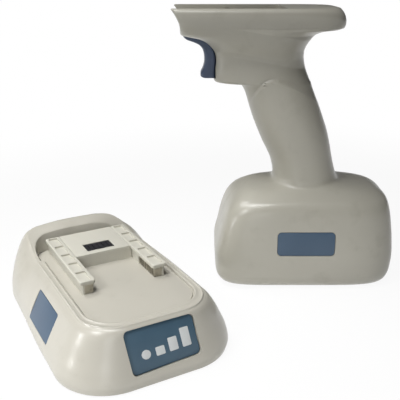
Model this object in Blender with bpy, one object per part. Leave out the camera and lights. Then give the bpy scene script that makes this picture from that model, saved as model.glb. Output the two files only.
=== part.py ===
"""Pistol-grip battery handset of a handheld dental x-ray unit, with its charging cradle.

Run with: blender --background --python part.py
Metres, +Z up. The origin is the middle of the handset's underside, on the floor. The handset's
nose and trigger point to -X and its tail to +X. The cradle stands beside it, turned about Z.
"""

import math

import bmesh
import bpy
import numpy as np
from mathutils import Matrix, Vector

# Fits that both pieces share
GAP = 0.0003              # between solids that touch
OVERRUN = 0.002           # how far a cutter runs past what it cuts
ROUND_SIDES = 16          # sides of a turned piece

# Handset: outside
BASE_LENGTH = 0.139       # twice the reach of its front end; the rear end is drawn in
BASE_WIDTH = 0.082
BASE_HEIGHT = 0.078
GRIP_DEPTH = 0.0505
GRIP_WIDTH = 0.044
GRIP_LEAN = math.radians(20.6)
GRIP_FOOT_X = -0.0005
GRIP_HEIGHT = 0.0695
HEAD_HEIGHT = 0.0525      # trigger housing and dock plate
LEDGE_HEIGHT = BASE_HEIGHT + GRIP_HEIGHT      # underside of the trigger housing
HANDSET_HEIGHT = LEDGE_HEIGHT + HEAD_HEIGHT
NOSE_REACH = 0.1017       # from the origin to the top of the nose
TAIL_REACH = 0.0218
PLATE_WIDTH = 0.070
PLATE_THICKNESS = 0.0128
HANDSET_WALL = 0.0025
SKIN_STEPS = 14           # faces round one half of the skin

# Rows of the base: height, front, rear and half width shares, squareness at the front and rear
BASE_SHARES = (
    (0.010, 0.900, 0.815, 0.800, 4.2, 3.4), (0.030, 0.935, 0.852, 0.863, 4.3, 3.4),
    (0.065, 0.970, 0.884, 0.924, 4.4, 3.4), (0.105, 0.990, 0.901, 0.961, 4.5, 3.5),
    (0.160, 0.999, 0.914, 0.985, 4.6, 3.6), (0.300, 0.999, 0.924, 0.995, 4.6, 3.6),
    (0.450, 0.970, 0.912, 0.966, 4.6, 3.6), (0.580, 0.943, 0.893, 0.934, 4.5, 3.6),
    (0.700, 0.902, 0.868, 0.890, 4.4, 3.5), (0.790, 0.858, 0.838, 0.846, 4.1, 3.4),
    (0.845, 0.800, 0.800, 0.793, 3.8, 3.3), (0.890, 0.725, 0.735, 0.722, 3.4, 3.1),
    (0.925, 0.642, 0.662, 0.654, 3.1, 2.9), (0.945, 0.555, 0.575, 0.600, 2.8, 2.7),
    (0.960, 0.470, 0.475, 0.566, 2.6, 2.6), (0.975, 0.410, 0.385, 0.554, 2.5, 2.45))
# Rows of the grip, as shares of its height, depth and half width, then the squareness
GRIP_SHARES = (
    (0.000, 0.985, 1.020, 2.4), (0.022, 0.950, 1.005, 2.4), (0.086, 0.935, 1.000, 2.3),
    (0.180, 0.905, 1.000, 2.3), (0.320, 0.950, 1.020, 2.3),
    (0.450, 0.990, 1.040, 2.3), (0.710, 1.000, 1.050, 2.3), (0.840, 1.000, 1.030, 2.3),
    (0.930, 1.010, 0.980, 2.3), (0.972, 1.030, 0.950, 2.4))
# Rows of the head: height, nose reach, tail reach and half width shares, squareness at nose, tail
HEAD_SHARES = (
    (0.000, 0.541, -0.055, 0.570, 2.4, 2.4), (0.004, 0.659, -0.055, 0.570, 2.8, 2.4),
    (0.019, 0.683, -0.100, 0.560, 3.0, 2.4), (0.048, 0.694, -0.130, 0.550, 3.2, 2.5),
    (0.200, 0.694, -0.260, 0.545, 3.4, 2.6), (0.300, 0.690, -0.310, 0.550, 3.4, 2.6),
    (0.420, 0.699, -0.310, 0.580, 3.6, 2.6), (0.475, 0.715, -0.285, 0.640, 3.8, 2.7),
    (0.520, 0.735, -0.220, 0.740, 4.2, 2.8), (0.565, 0.762, -0.150, 0.840, 4.8, 2.9),
    (0.600, 0.800, -0.050, 0.900, 5.4, 3.0), (0.618, 0.845, 0.010, 0.925, 6.0, 3.0),
    (0.625, 0.915, 0.020, 0.935, 6.5, 3.0), (0.650, 0.938, 0.060, 0.955, 7.0, 3.0),
    (0.685, 0.941, 0.280, 0.975, 8.0, 3.2), (0.697, 0.941, 0.750, 0.980, 8.0, 3.4),
    (0.720, 0.941, 0.940, 0.988, 8.0, 3.5), (0.752, 0.941, 0.975, 0.993, 8.0, 3.5),
    (0.800, 0.947, 1.000, 1.000, 8.0, 3.5), (0.880, 0.967, 0.955, 1.000, 8.0, 3.5),
    (0.955, 0.986, 0.790, 0.985, 8.0, 3.4), (0.985, 1.000, 0.680, 0.965, 8.0, 3.3),
    (1.000, 0.985, 0.460, 0.925, 8.0, 3.2))

# Handset: bottom cover and screws
COVER_THICKNESS = 0.0035
COVER_RIM = 0.005         # housing left round the cover
COVER_SCREW_INSET = 0.0295    # from the base's end; one screw in each half, at opposite corners
COVER_SCREW_SIDE = 0.0245     # from the base's side
COVER_BOSS_HALF = 0.0042
COVER_BOSS_TOP = 0.0125
SCREW_SHANK = 0.00125     # radius
SCREW_HEAD = 0.0026       # radius
SCREW_HEAD_HEIGHT = 0.0018
SCREW_POCKET = 0.0031     # radius of a counterbore
SCREW_LENGTH = 0.0075
HEAD_FLOOR = 0.0012       # material under a cover screw's head

# Handset: screws across the seam, each x (grip screws from the grip's middle) and z
SEAM_BOSS = 0.0036        # radius
SEAM_HEAD_BOSS = 0.0048   # radius, on the side that holds the screw heads
SEAM_SEAT = 0.005         # from the seam to the screw head's seat
SEAM_SCREW_LENGTH = 0.0125
BASE_SCREW_INSET = 0.0235 # from the base's end
BASE_SCREW_Z = 0.030
GRIP_SCREW_BACK = 0.010   # forward of the grip's middle
GRIP_SCREW_SHARE = 0.58   # of the grip's height
HEAD_SCREW_INSET = 0.0115 # from the neck's rear face
HEAD_SCREW_SHARE = 0.34   # of the head's height

# Handset: dock plate on top
CHANNEL_LENGTH = 0.0785   # open at the nose
CHANNEL_FLOOR = 0.003     # plate left under the channel
LIP_THICKNESS = 0.0022
PLATE_SCREW_Y = 0.0255
PLATE_SCREW_SHARES = (0.33, 0.70)   # along the plate, from the nose
PLATE_TAB_HALF = 0.0042
PLATE_TAB_THICKNESS = 0.0042
CONTACT_BLOCK_LENGTH = 0.030
CONTACT_BLOCK_HEIGHT = 0.0064
CONTACT_BLOCK_SETBACK = 0.0035      # from the channel's closed end
CONTACT_STRIP_LENGTH = 0.022
CONTACT_STRIP_HEIGHT = 0.0042
CONTACT_STRIP_THICKNESS = 0.0006
CONTACT_STRIPS = 4                  # ribs of each

# Handset: badge on the near face of the base
BADGE_LENGTH = 0.0415
BADGE_HEIGHT = 0.0176
BADGE_THICKNESS = 0.0012
BADGE_CORNER = 0.003
BADGE_X = -0.004
BADGE_Z = 0.0374
BADGE_SEAT = 0.0010       # depth of its pocket

# Handset: battery
CELL_END_ROOM = 0.037     # from the base's end to the cells' ends
CELL_LENGTH = BASE_LENGTH - 2 * CELL_END_ROOM
CELL_COLUMNS = 3
CELL_LAYERS = 2
CELL_PITCH = 0.2354 * BASE_WIDTH      # three cells side by side, and the walls beside them
CELL_CLEARANCE = 0.00045  # from a cell to halfway to the next one
CELL_RADIUS = CELL_PITCH / 2 - CELL_CLEARANCE
HOLDER_THICKNESS = 0.008
HOLDER_SETBACK = 0.0035   # from the cells' ends
HOLDER_EDGE = 0.0015      # holder left outside the cells
LINK_WIDTH = 0.008
LINK_THICKNESS = 0.0003
BOARD_THICKNESS = 0.0016
BOARD_END_ROOM = 0.001    # the board is shorter than the cells
BATTERY_BOARD_LENGTH = CELL_LENGTH - BOARD_END_ROOM
BATTERY_BOARD_WIDTH = 0.044
BOARD_PART_HEIGHT = 0.005
# Parts of the battery's board: middle along and across, length, width and height as shares
BATTERY_PART_SHARES = (
    (0.14, 0.22, 0.12, 0.25, 0.6), (0.14, 0.78, 0.12, 0.25, 0.6), (0.86, 0.22, 0.12, 0.25, 0.8),
    (0.86, 0.78, 0.12, 0.25, 0.8), (0.59, 0.50, 0.18, 0.30, 1.0), (0.36, 0.50, 0.12, 0.24, 1.0))
HARNESS_RADIUS = 0.0016
HARNESS_OFFSET = 0.007    # rearwards of the grip's middle
SWITCH_LEAD_RADIUS = 0.0011
SWITCH_LEAD_SIDE = 0.0032           # to the near side of the main harness

# Handset: trigger, pin, spring and switch
TRIGGER_WIDTH = 0.022
TRIGGER_CLEARANCE = 0.0005          # each side, in its slot
TRIGGER_INSET = 0.0018              # how far its back lies inside the skin
TRIGGER_PROUD_SHARES = (1.26, 1.12, 1.0, 0.98, 0.98, 0.95, 0.92, 0.86, 0.78, 0.62, 0.12)
TRIGGER_PROUD = 0.0071              # finger side outside the skin
TRIGGER_FOOT = 0.0004               # over the slot's floor
TRIGGER_EYE = 0.0028                # radius
PIN_RADIUS = 0.00125
PIN_LENGTH = 0.031
PIVOT_FROM_NOSE = 0.0078
PIVOT_BELOW_PLATE = 0.0036
CHEEK_THICKNESS = 0.005
CHEEK_HALF = 0.0045
SLOT_DEPTH = 0.007                  # behind the housing's front
TRIGGER_SQUEEZE = math.radians(6.0)
SWITCH_LENGTH = 0.020
SWITCH_HEIGHT = 0.016
SWITCH_WIDTH = 0.0104
SWITCH_SETBACK = 0.0108             # from the housing's front
SWITCH_RIB = 0.0022
PLUNGER_RADIUS = 0.0018
PLUNGER_BORE = 0.0022
PLUNGER_HEIGHT = 0.0105             # over the switch's underside
PLUNGER_ENGAGED = 0.0050            # length inside the switch
PLUNGER_BORE_DEPTH = 0.0095
SPRING_RADIUS = 0.0024
SPRING_WIRE = 0.0003                # radius
SPRING_TURNS = 4
SPRING_POINTS = 9                   # a turn
SPRING_HEIGHT = 0.0042              # over the switch's underside

# Cradle: place and outside
CRADLE_X = -0.1437
CRADLE_Y = -0.0708
CRADLE_TURN = math.radians(29.1)
CRADLE_WIDTH = 0.1144
CRADLE_FRONT = 0.0872     # from the cradle's own origin to its front
CRADLE_BACK = 0.0846
DECK_HEIGHT = 0.0354
LIP_HEIGHT = 0.0366
HUMP_RISE = 0.0152        # over the lip
HUMP_SIDE_SHARE = 0.68    # of the rise, where the hump turns the corner
HUMP_ARM_SHARE = 0.284    # of the back, where the hump's arms start
HUMP_WALL_SHARE = 0.544    # of the back, where the hump has its full height
HUMP_HALF_SHARE = 0.524   # of the half width, where the arch ends
TAPER_START_SHARE = -0.29 # of the front
TAPER_END_SHARE = 0.53    # of the back
CRADLE_WALL = 0.0025
CORNER_STEPS = 6          # faces round a corner
FOOT_PROUD = 0.001

# Rows of the cradle's skin from the floor to the deck: half width at the front and at the back,
# front, back, front corner radius, back corner radius, height, share of the hump's rise.
# Widths and radii are shares of the half width, heights of the lip's height.
CRADLE_SHARES = (
    (0.985, 0.898, 0.995, 0.990, 0.594, 0.560, 0.027, 0.00),
    (1.000, 0.910, 1.000, 0.997, 0.594, 0.560, 0.125, 0.03),
    (0.944, 0.915, 0.980, 0.972, 0.560, 0.510, 0.303, 0.16),
    (0.865, 0.905, 0.955, 0.925, 0.524, 0.480, 0.522, 0.40),
    (0.787, 0.862, 0.936, 0.860, 0.490, 0.450, 0.746, 0.68),
    (0.713, 0.748, 0.917, 0.762, 0.455, 0.400, 0.918, 0.90),
    (0.668, 0.685, 0.897, 0.674, 0.420, 0.367, 0.992, 1.02),
    (0.643, 0.647, 0.858, 0.585, 0.367, 0.315, 1.000, 1.00),
    (0.626, 0.626, 0.836, 0.546, 0.350, 0.280, 0.995, 0.97),
    (0.622, 0.622, 0.834, 0.544, 0.350, 0.280, None, 0.00))

# Cradle: rails, platform and contacts
RAIL_TOP = 0.0447
RAIL_OUTER = 0.0291       # half width over the rails' lips
RAIL_INNER = 0.0205       # half width of the gap between the rails
RAIL_WEB_INSET = 0.0014   # from the lip's edge to the web under it
RAIL_LIP = 0.0022         # thickness
RAIL_FRONT = 0.0317       # forward of the cradle's origin
RAIL_BACK = 0.0436
RAIL_POCKETS = 5
RAIL_POCKET_DEPTH = 0.0008
RAIL_POCKET_RIB = 0.0012
RAIL_CAP_THICKNESS = 0.0032
STEP_FRONT = 0.005        # the platform's front face
SOCKET_LENGTH = 0.0194
SOCKET_WIDTH = 0.0118
SOCKET_Y = 0.0155
SOCKET_DEPTH = 0.0055
SOCKET_BLADE = 0.0006     # thickness
SOCKET_BLADE_COUNT = 5
COMB_LENGTH = 0.0245
COMB_SETBACK = 0.0012     # from the rail's front end
COMB_DEPTH = 0.0056
COMB_RIBS = 9
COMB_GROOVE = 0.0008
COMB_TAIL = 0.0010        # radius of the post through the deck
DOCK_LEAD_RADIUS = 0.0016
CHANNEL_CLEARANCE = 0.0007          # round the rails, in the handset's channel
LIP_HOLD = 0.0013                   # how far the channel's lips reach under the rails' lips

# Cradle: base, board and inlet
BASE_PLATE_THICKNESS = 0.0025
FOOT_RADIUS = 0.006
FOOT_THICKNESS = 0.0020
FOOT_X = 0.036
FOOT_FRONT = 0.058
FOOT_BACK = 0.056
BASE_SCREW_FRONT = 0.066
BASE_SCREW_BACK = 0.058
BASE_BOSS = 0.0036        # radius
CHARGER_BOARD_LENGTH = 0.074
CHARGER_BOARD_WIDTH = 0.060
CHARGER_BOARD_Y = 0.006
BOARD_POST = 0.0022       # radius
BOARD_POST_HEIGHT = 0.0045
BOARD_POST_INSET = 0.005
COIL_LENGTH = 0.020
COIL_WIDTH = 0.018
COIL_HEIGHT = 0.014
COIL_FLANGE = 0.0022
CHARGER_PART_HEIGHT = 0.015
# Parts of the charger's board: middle along and across, length, width and height as shares
CHARGER_PART_SHARES = (
    (0.91, 0.42, 0.13, 0.16, 1.0), (0.91, 0.60, 0.13, 0.16, 1.0), (0.91, 0.78, 0.13, 0.16, 1.0),
    (0.30, 0.22, 0.16, 0.20, 0.15), (0.62, 0.25, 0.10, 0.12, 0.2), (0.68, 0.88, 0.14, 0.12, 0.4))
INLET_WIDTH = 0.010
INLET_HEIGHT = 0.011
INLET_LENGTH = 0.014
INLET_BORE = 0.0031       # radius
INLET_PIN = 0.0010        # radius
INLET_PROUD = 0.0003

# Cradle: front panel with its windows, and side badge
PANEL_LENGTH = 0.043
PANEL_HEIGHT = 0.0265
PANEL_THICKNESS = 0.0012
PANEL_CORNER = 0.003
PANEL_X = 0.0008
PANEL_Z = 0.0213
PANEL_SEAT = 0.0009
PANEL_CLEAR = 0.0006      # the panel's seat lies this far in front of the curved skin
WINDOW_RADIUS = 0.0032
WINDOW_X_SHARE = -0.262   # of the panel's length
WINDOW_LENGTH = 0.0019
BAR_WIDTH = 0.0056
BAR_PITCH_SHARE = 0.198
BAR_FIRST_SHARE = -0.055
BAR_FOOT_SHARE = -0.235   # of the panel's height
BAR_HEIGHT_SHARES = (0.20, 0.325, 0.465)
BAR_FLAT = 0.0006         # corner radius
LIGHT_BOARD_LENGTH = 0.038
LIGHT_BOARD_HEIGHT = 0.018
LIGHT_BOARD_SETBACK = 0.0032        # behind the inside of the wall
LIGHT_SIZE = 0.0016
LIGHT_POST = 0.0018       # radius
SIDE_BADGE_LENGTH = 0.0375
SIDE_BADGE_HEIGHT = 0.0178
SIDE_BADGE_Y = -0.017
SIDE_BADGE_SHARE = 0.52   # of the lip's height, at its middle

LIGHT_GREY = (0.60, 0.585, 0.53)
PALE_GREY = (0.66, 0.645, 0.59)
SLATE_BLUE = (0.045, 0.095, 0.155)
WINDOW_WHITE = (0.72, 0.72, 0.70)
BLACK = (0.012, 0.012, 0.013)
DARK_RUBBER = (0.03, 0.03, 0.03)
STEEL = (0.55, 0.55, 0.56)
NICKEL = (0.62, 0.60, 0.55)
BOARD_GREEN = (0.02, 0.16, 0.07)
CELL_WRAP = (0.10, 0.30, 0.42)
COPPER = (0.55, 0.26, 0.12)
LEAD_RED = (0.35, 0.03, 0.02)


# Scene, collections and materials

def clear_scene():
    for old in list(bpy.data.objects):
        bpy.data.objects.remove(old, do_unlink=True)


def new_collection(name):
    made = bpy.data.collections.new(name)
    bpy.context.scene.collection.children.link(made)
    return made


clear_scene()
PARTS = new_collection("handset_and_cradle")
CUTTERS = new_collection("cutters")


def plastic(name, colour, roughness=0.5, metallic=0.0):
    made = bpy.data.materials.new(name)
    made.use_nodes = True
    shader = made.node_tree.nodes["Principled BSDF"]
    shader.inputs["Base Color"].default_value = (*colour, 1.0)
    shader.inputs["Roughness"].default_value = roughness
    shader.inputs["Metallic"].default_value = metallic
    return made


HOUSING = plastic("housing_plastic", LIGHT_GREY, 0.42)
DECK = plastic("deck_plastic", PALE_GREY, 0.45)
BLUE = plastic("slate_plastic", SLATE_BLUE, 0.35)
WHITE = plastic("window_plastic", WINDOW_WHITE, 0.3)
DARK = plastic("black_plastic", BLACK, 0.4)
RUBBER = plastic("foot_rubber", DARK_RUBBER, 0.8)
METAL = plastic("screw_steel", STEEL, 0.3, 1.0)
PLATED = plastic("contact_nickel", NICKEL, 0.28, 1.0)
BOARD = plastic("circuit_board", BOARD_GREEN, 0.45)
WRAP = plastic("cell_wrap", CELL_WRAP, 0.35)
WINDING = plastic("copper_winding", COPPER, 0.35, 1.0)
LEAD = plastic("lead_jacket", LEAD_RED, 0.5)


# Building tools

def mesh_object(name, bm, material=None, parent=None, cutter=False):
    """Turn a bmesh into an object, in the part's collection or in the cutters'."""
    bmesh.ops.recalc_face_normals(bm, faces=bm.faces)
    mesh = bpy.data.meshes.new(name)
    bm.to_mesh(mesh)
    bm.free()
    made = bpy.data.objects.new(name, mesh)
    (CUTTERS if cutter else PARTS).objects.link(made)
    if cutter:
        made.hide_render = True
        made.display_type = "WIRE"
    else:
        mesh.materials.append(material)
    if parent is not None:
        made.parent = parent
    return made


def place(made, at, turn=None):
    """Set an object's location, and its rotation from a matrix."""
    made.location = at
    if turn is not None:
        made.rotation_euler = turn.to_euler()
    return made


def block(name, size, material=None, parent=None, at=(0, 0, 0), turn=None, cutter=False, flat=0.0):
    """Box of the given size, centred on its own origin, with its upright edges rounded by flat."""
    bm = bmesh.new()
    bmesh.ops.create_cube(bm, size=1)
    bmesh.ops.scale(bm, vec=size, verts=bm.verts)
    if flat > 0:
        upright = [e for e in bm.edges if abs(e.verts[0].co.z - e.verts[1].co.z) > size[2] / 2]
        bmesh.ops.bevel(bm, geom=upright, offset=flat, segments=3, profile=0.5, affect="EDGES")
    return place(mesh_object(name, bm, material, parent, cutter), at, turn)


def span(name, low, high, material=None, parent=None, cutter=False, flat=0.0):
    """Box between two corners."""
    low, high = Vector(low), Vector(high)
    return block(name, high - low, material, parent, (low + high) / 2, None, cutter, flat)


def rod(name, radius, start, end, material=None, parent=None, cutter=False, sides=ROUND_SIDES):
    """Cylinder from one point to another."""
    start, end = Vector(start), Vector(end)
    along = end - start
    bm = bmesh.new()
    bmesh.ops.create_cone(bm, cap_ends=True, segments=sides, radius1=radius, radius2=radius,
                          depth=along.length)
    turn = along.to_track_quat("Z", "Y").to_matrix()
    return place(mesh_object(name, bm, material, parent, cutter), (start + end) / 2, turn)


def loft(name, rings, material=None, parent=None, cutter=False):
    """Closed solid through a list of rings, each an array of the same number of points."""
    bm = bmesh.new()
    rows = [[bm.verts.new(point) for point in ring] for ring in rings]
    count = len(rows[0])
    for below, above in zip(rows, rows[1:]):
        for i in range(count):
            j = (i + 1) % count
            bm.faces.new((below[i], below[j], above[j], above[i]))
    bm.faces.new(rows[0][::-1])
    bm.faces.new(rows[-1])
    return mesh_object(name, bm, material, parent, cutter)


def prism(name, outline, low, high, axis, material=None, parent=None, cutter=False):
    """Flat outline extruded from low to high along an axis: "Y" takes (x, z), "Z" takes (x, y)."""
    bm = bmesh.new()
    corners = [bm.verts.new((a, low, b) if axis == "Y" else (a, b, low)) for a, b in outline]
    face = bm.faces.new(corners)
    moved = bmesh.ops.extrude_face_region(bm, geom=[face])["geom"]
    along = (0, high - low, 0) if axis == "Y" else (0, 0, high - low)
    bmesh.ops.translate(bm, vec=along, verts=[v for v in moved if isinstance(v, bmesh.types.BMVert)])
    return mesh_object(name, bm, material, parent, cutter)


def boolean(target, tool, operation):
    step = target.modifiers.new(operation.lower() + "_" + tool.name, "BOOLEAN")
    step.operation = operation
    step.solver = "EXACT"
    step.object = tool
    return target


def cut(target, *tools):
    for tool in tools:
        boolean(target, tool, "DIFFERENCE")
    return target


def add(target, *tools):
    for tool in tools:
        boolean(target, tool, "UNION")
    return target


def smooth_line(route, steps):
    """Points on one smooth curve through the route's own points (uniform Catmull-Rom)."""
    route = [Vector(point) for point in route]
    route = [2 * route[0] - route[1]] + route + [2 * route[-1] - route[-2]]
    points = []
    for a, b, c, d in zip(route, route[1:], route[2:], route[3:]):
        for i in range(steps):
            t = i / steps
            points.append(0.5 * (2 * b + (c - a) * t + (2 * a - 5 * b + 4 * c - d) * t * t
                                 + (3 * b - 3 * c + d - a) * t * t * t))
    points.append(route[-2])
    return points


def wire(name, points, radius, material, parent=None, sides=2):
    """Round wire along a list of points, as a bevelled curve with filled caps."""
    curve = bpy.data.curves.new(name, "CURVE")
    curve.dimensions = "3D"
    curve.bevel_depth = radius
    curve.bevel_resolution = sides
    curve.use_fill_caps = True
    line = curve.splines.new("POLY")
    line.points.add(len(points) - 1)
    for knot, point in zip(line.points, points):
        knot.co = (*point, 1)
    curve.materials.append(material)
    made = bpy.data.objects.new(name, curve)
    PARTS.objects.link(made)
    if parent is not None:
        made.parent = parent
    return made


# Skin of the handset

def skin_rows():
    """Rows of the handset's skin, bottom to top: z, front, rear, half width, two squarenesses."""
    rows = []
    half = BASE_LENGTH / 2
    for height, front, rear, width, at_nose, at_tail in BASE_SHARES:
        rows.append((height * BASE_HEIGHT, -front * half, rear * half, width * BASE_WIDTH / 2, at_nose,
                     at_tail))
    grip_height = LEDGE_HEIGHT - BASE_HEIGHT
    for height, depth, width, square in GRIP_SHARES:
        z = BASE_HEIGHT + height * grip_height
        middle = grip_middle(z)
        half = depth * GRIP_DEPTH / 2
        rows.append((z, middle - half, middle + half, width * GRIP_WIDTH / 2, square, square))
    head_height = HANDSET_HEIGHT - LEDGE_HEIGHT
    for height, nose, tail, width, at_nose, at_tail in HEAD_SHARES:
        rows.append((LEDGE_HEIGHT + height * head_height, -nose * NOSE_REACH, tail * TAIL_REACH,
                     width * PLATE_WIDTH / 2, at_nose, at_tail))
    return np.array(rows)


def grip_middle(z):
    """x of the leaning grip's middle at a height."""
    return GRIP_FOOT_X - (z - BASE_HEIGHT) * math.tan(GRIP_LEAN)


SKIN = skin_rows()
COVER_SCREW_X = BASE_LENGTH / 2 - COVER_SCREW_INSET
COVER_SCREW_Y = BASE_WIDTH / 2 - COVER_SCREW_SIDE
BASE_SCREW_X = BASE_LENGTH / 2 - BASE_SCREW_INSET
SEAM_Z = HANDSET_HEIGHT - PLATE_THICKNESS     # where the dock plate lies on the housing


def skin_at(z):
    """Row of the skin at any height, straight between the rows on either side."""
    return np.array([np.interp(z, SKIN[:, 0], SKIN[:, k]) for k in range(1, SKIN.shape[1])])


def half_ring(z, row, offset=0.0):
    """Points of one section's half with y above 0, from the tail round to the nose.

    Each is a point of a superellipse, squarer or rounder at the nose than at the tail.
    """
    front, rear, half, at_nose, at_tail = row
    middle = (front + rear) / 2
    turn = np.linspace(0, math.pi, SKIN_STEPS + 1)
    square = np.where(turn > math.pi / 2, at_nose, at_tail)
    c, s = np.cos(turn), np.sin(turn)
    reach = (np.abs(c) ** square + np.abs(s) ** square) ** (-1 / square)
    x = middle + (rear - front) / 2 * c * reach
    y = np.maximum(half * s * reach, 0)
    y[[0, -1]] = 0
    return np.column_stack([x, y + offset * (1 - y / half), np.full_like(x, z)])


def side_at(x, z):
    """y of the skin beside the middle plane, at a place and height."""
    front, rear, half, at_nose, at_tail = skin_at(z)
    share = (x - (front + rear) / 2) / ((rear - front) / 2)
    square = at_nose if share < 0 else at_tail
    return half * max(0.0, 1 - abs(share) ** square) ** (1 / square)


def mirrored(ring):
    return (ring * [1, -1, 1])[::-1]


def full_ring(z, row):
    half = half_ring(z, row)
    return np.vstack([half, mirrored(half)[1:-1]])


def levels_between(low, high):
    inner = [z for z in SKIN[:, 0] if low < z < high]
    return [low] + inner + [high]


def cavity_row(z):
    """Section of the cavity: one wall inside the skin at this height and just above and below."""
    here, below, above = (skin_at(z + step) for step in (0, -HANDSET_WALL, HANDSET_WALL))
    front = max(here[0] + HANDSET_WALL, below[0] + HANDSET_WALL / 2, above[0] + HANDSET_WALL / 2)
    rear = min(here[1] - HANDSET_WALL, below[1] - HANDSET_WALL / 2, above[1] - HANDSET_WALL / 2)
    half = min(here[2] - HANDSET_WALL, below[2] - HANDSET_WALL / 2, above[2] - HANDSET_WALL / 2)
    return np.array([front, rear, half, here[3], here[4]])


def cavity_levels():
    """Heights of the cavity's rows: under the skin's rows in base and grip, over them in the head."""
    lower = [z - HANDSET_WALL for z in SKIN[:, 0] if z < LEDGE_HEIGHT]
    upper = [z + HANDSET_WALL for z in SKIN[:, 0] if z > LEDGE_HEIGHT - HANDSET_WALL / 2]
    return [z for z in sorted(lower + upper) if COVER_THICKNESS + GAP < z < SEAM_Z - GAP]


def cavity():
    levels = [COVER_THICKNESS] + cavity_levels() + [SEAM_Z + OVERRUN]
    return loft("cavity", [full_ring(z, cavity_row(z)) for z in levels], cutter=True)


def cover_ring(z, inset):
    front, rear, half, at_nose, at_tail = skin_at(SKIN[0, 0])
    return full_ring(z, (front + inset, rear - inset, half - inset, at_nose, at_tail))


# Places that several pieces of the handset share

PIVOT = Vector((-HEAD_SHARES[-10][1] * NOSE_REACH + PIVOT_FROM_NOSE, 0, SEAM_Z - PIVOT_BELOW_PLATE))
HOUSING_FRONT = skin_at(LEDGE_HEIGHT + HANDSET_WALL)[0]
SLOT_FLOOR = LEDGE_HEIGHT + HANDSET_WALL
SLOT_HALF = TRIGGER_WIDTH / 2 + TRIGGER_CLEARANCE
SWITCH_FRONT = HOUSING_FRONT + SWITCH_SETBACK
SWITCH_BOTTOM = SLOT_FLOOR + GAP
PLUNGER_Z = SWITCH_BOTTOM + PLUNGER_HEIGHT
SPRING_Z = SWITCH_BOTTOM + SPRING_HEIGHT
TRIGGER_BACK = HOUSING_FRONT + TRIGGER_INSET
CHANNEL_BOTTOM = SEAM_Z + GAP + CHANNEL_FLOOR
CHANNEL_END = -NOSE_REACH + CHANNEL_LENGTH
SCREW_BORE = SCREW_SHANK + GAP
STACK_BOTTOM = COVER_THICKNESS + GAP
STACK_HALF = (CELL_COLUMNS - 1) * CELL_PITCH / 2 + CELL_RADIUS + HOLDER_EDGE
STACK_TOP = STACK_BOTTOM + (CELL_LAYERS - 1) * CELL_PITCH + 2 * (CELL_RADIUS + HOLDER_EDGE)
BOARD_BOTTOM = STACK_TOP + GAP
BOARD_TOP = BOARD_BOTTOM + BOARD_THICKNESS


def seam_screw_places():
    """x and z of each screw that crosses the handset's seam."""
    grip_z = BASE_HEIGHT + GRIP_SCREW_SHARE * (LEDGE_HEIGHT - BASE_HEIGHT)
    head_z = LEDGE_HEIGHT + HEAD_SCREW_SHARE * (HANDSET_HEIGHT - LEDGE_HEIGHT)
    return [(-BASE_SCREW_X, BASE_SCREW_Z), (BASE_SCREW_X, BASE_SCREW_Z),
            (grip_middle(grip_z) - GRIP_SCREW_BACK, grip_z),
            (skin_at(head_z)[1] - HEAD_SCREW_INSET, head_z)]


def cover_screw_places():
    """x and y of the bottom cover's two screws."""
    return [(-COVER_SCREW_X, -COVER_SCREW_Y), (COVER_SCREW_X, COVER_SCREW_Y)]


def plate_screw_places():
    """x and y of the dock plate's two screws."""
    front, rear = (-NOSE_REACH + share * (NOSE_REACH + TAIL_REACH) for share in PLATE_SCREW_SHARES)
    return [(front, PLATE_SCREW_Y), (rear, -PLATE_SCREW_Y)]


def cove():
    """Points of the housing's front behind the trigger, from the slot's floor to the nose."""
    chosen = SKIN[(SKIN[:, 0] > LEDGE_HEIGHT + HANDSET_WALL / 2) & (SKIN[:, 0] < PIVOT.z - PIN_RADIUS)]
    points = chosen[chosen[:, 1] > PIVOT.x - PIVOT_FROM_NOSE][:, [1, 0]]
    points[0, 1] = SLOT_FLOOR + TRIGGER_FOOT
    return points[:-1] if points[-1, 1] > PIVOT.z - TRIGGER_EYE else points


def offset_line(points, distances):
    """A line moved sideways, each point along its own normal, towards the finger."""
    along = np.gradient(points, axis=0)
    along /= np.linalg.norm(along, axis=1)[:, None]
    normal = np.column_stack([-along[:, 1], along[:, 0]])
    return points + normal * np.asarray(distances)[:, None]


def trigger_outline():
    points = cove()
    shares = np.interp(np.linspace(0, 1, len(points)), np.linspace(0, 1, len(TRIGGER_PROUD_SHARES)),
                       TRIGGER_PROUD_SHARES)
    finger = offset_line(points, shares * TRIGGER_PROUD)
    back = offset_line(points, np.full(len(points), -TRIGGER_INSET))
    finger[0, 1] = back[0, 1] = points[0, 1]
    return [tuple(p) for p in finger] + [tuple(p) for p in back[::-1]]


# Handset pieces

def slot_cutter():
    """Opening behind and above the trigger, up into the nose."""
    under_nose = PIVOT.x - PIVOT_FROM_NOSE + HANDSET_WALL - GAP
    outside = -NOSE_REACH - OVERRUN
    back = HOUSING_FRONT + SLOT_DEPTH
    top = SEAM_Z - GAP
    below_nose = LEDGE_HEIGHT + 0.6 * (HANDSET_HEIGHT - LEDGE_HEIGHT)
    outline = [(outside, SLOT_FLOOR), (back, SLOT_FLOOR), (back, top), (under_nose, top),
               (under_nose, below_nose), (outside, below_nose)]
    return prism("trigger_slot", outline, -SLOT_HALF, SLOT_HALF, "Y", cutter=True)


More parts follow.
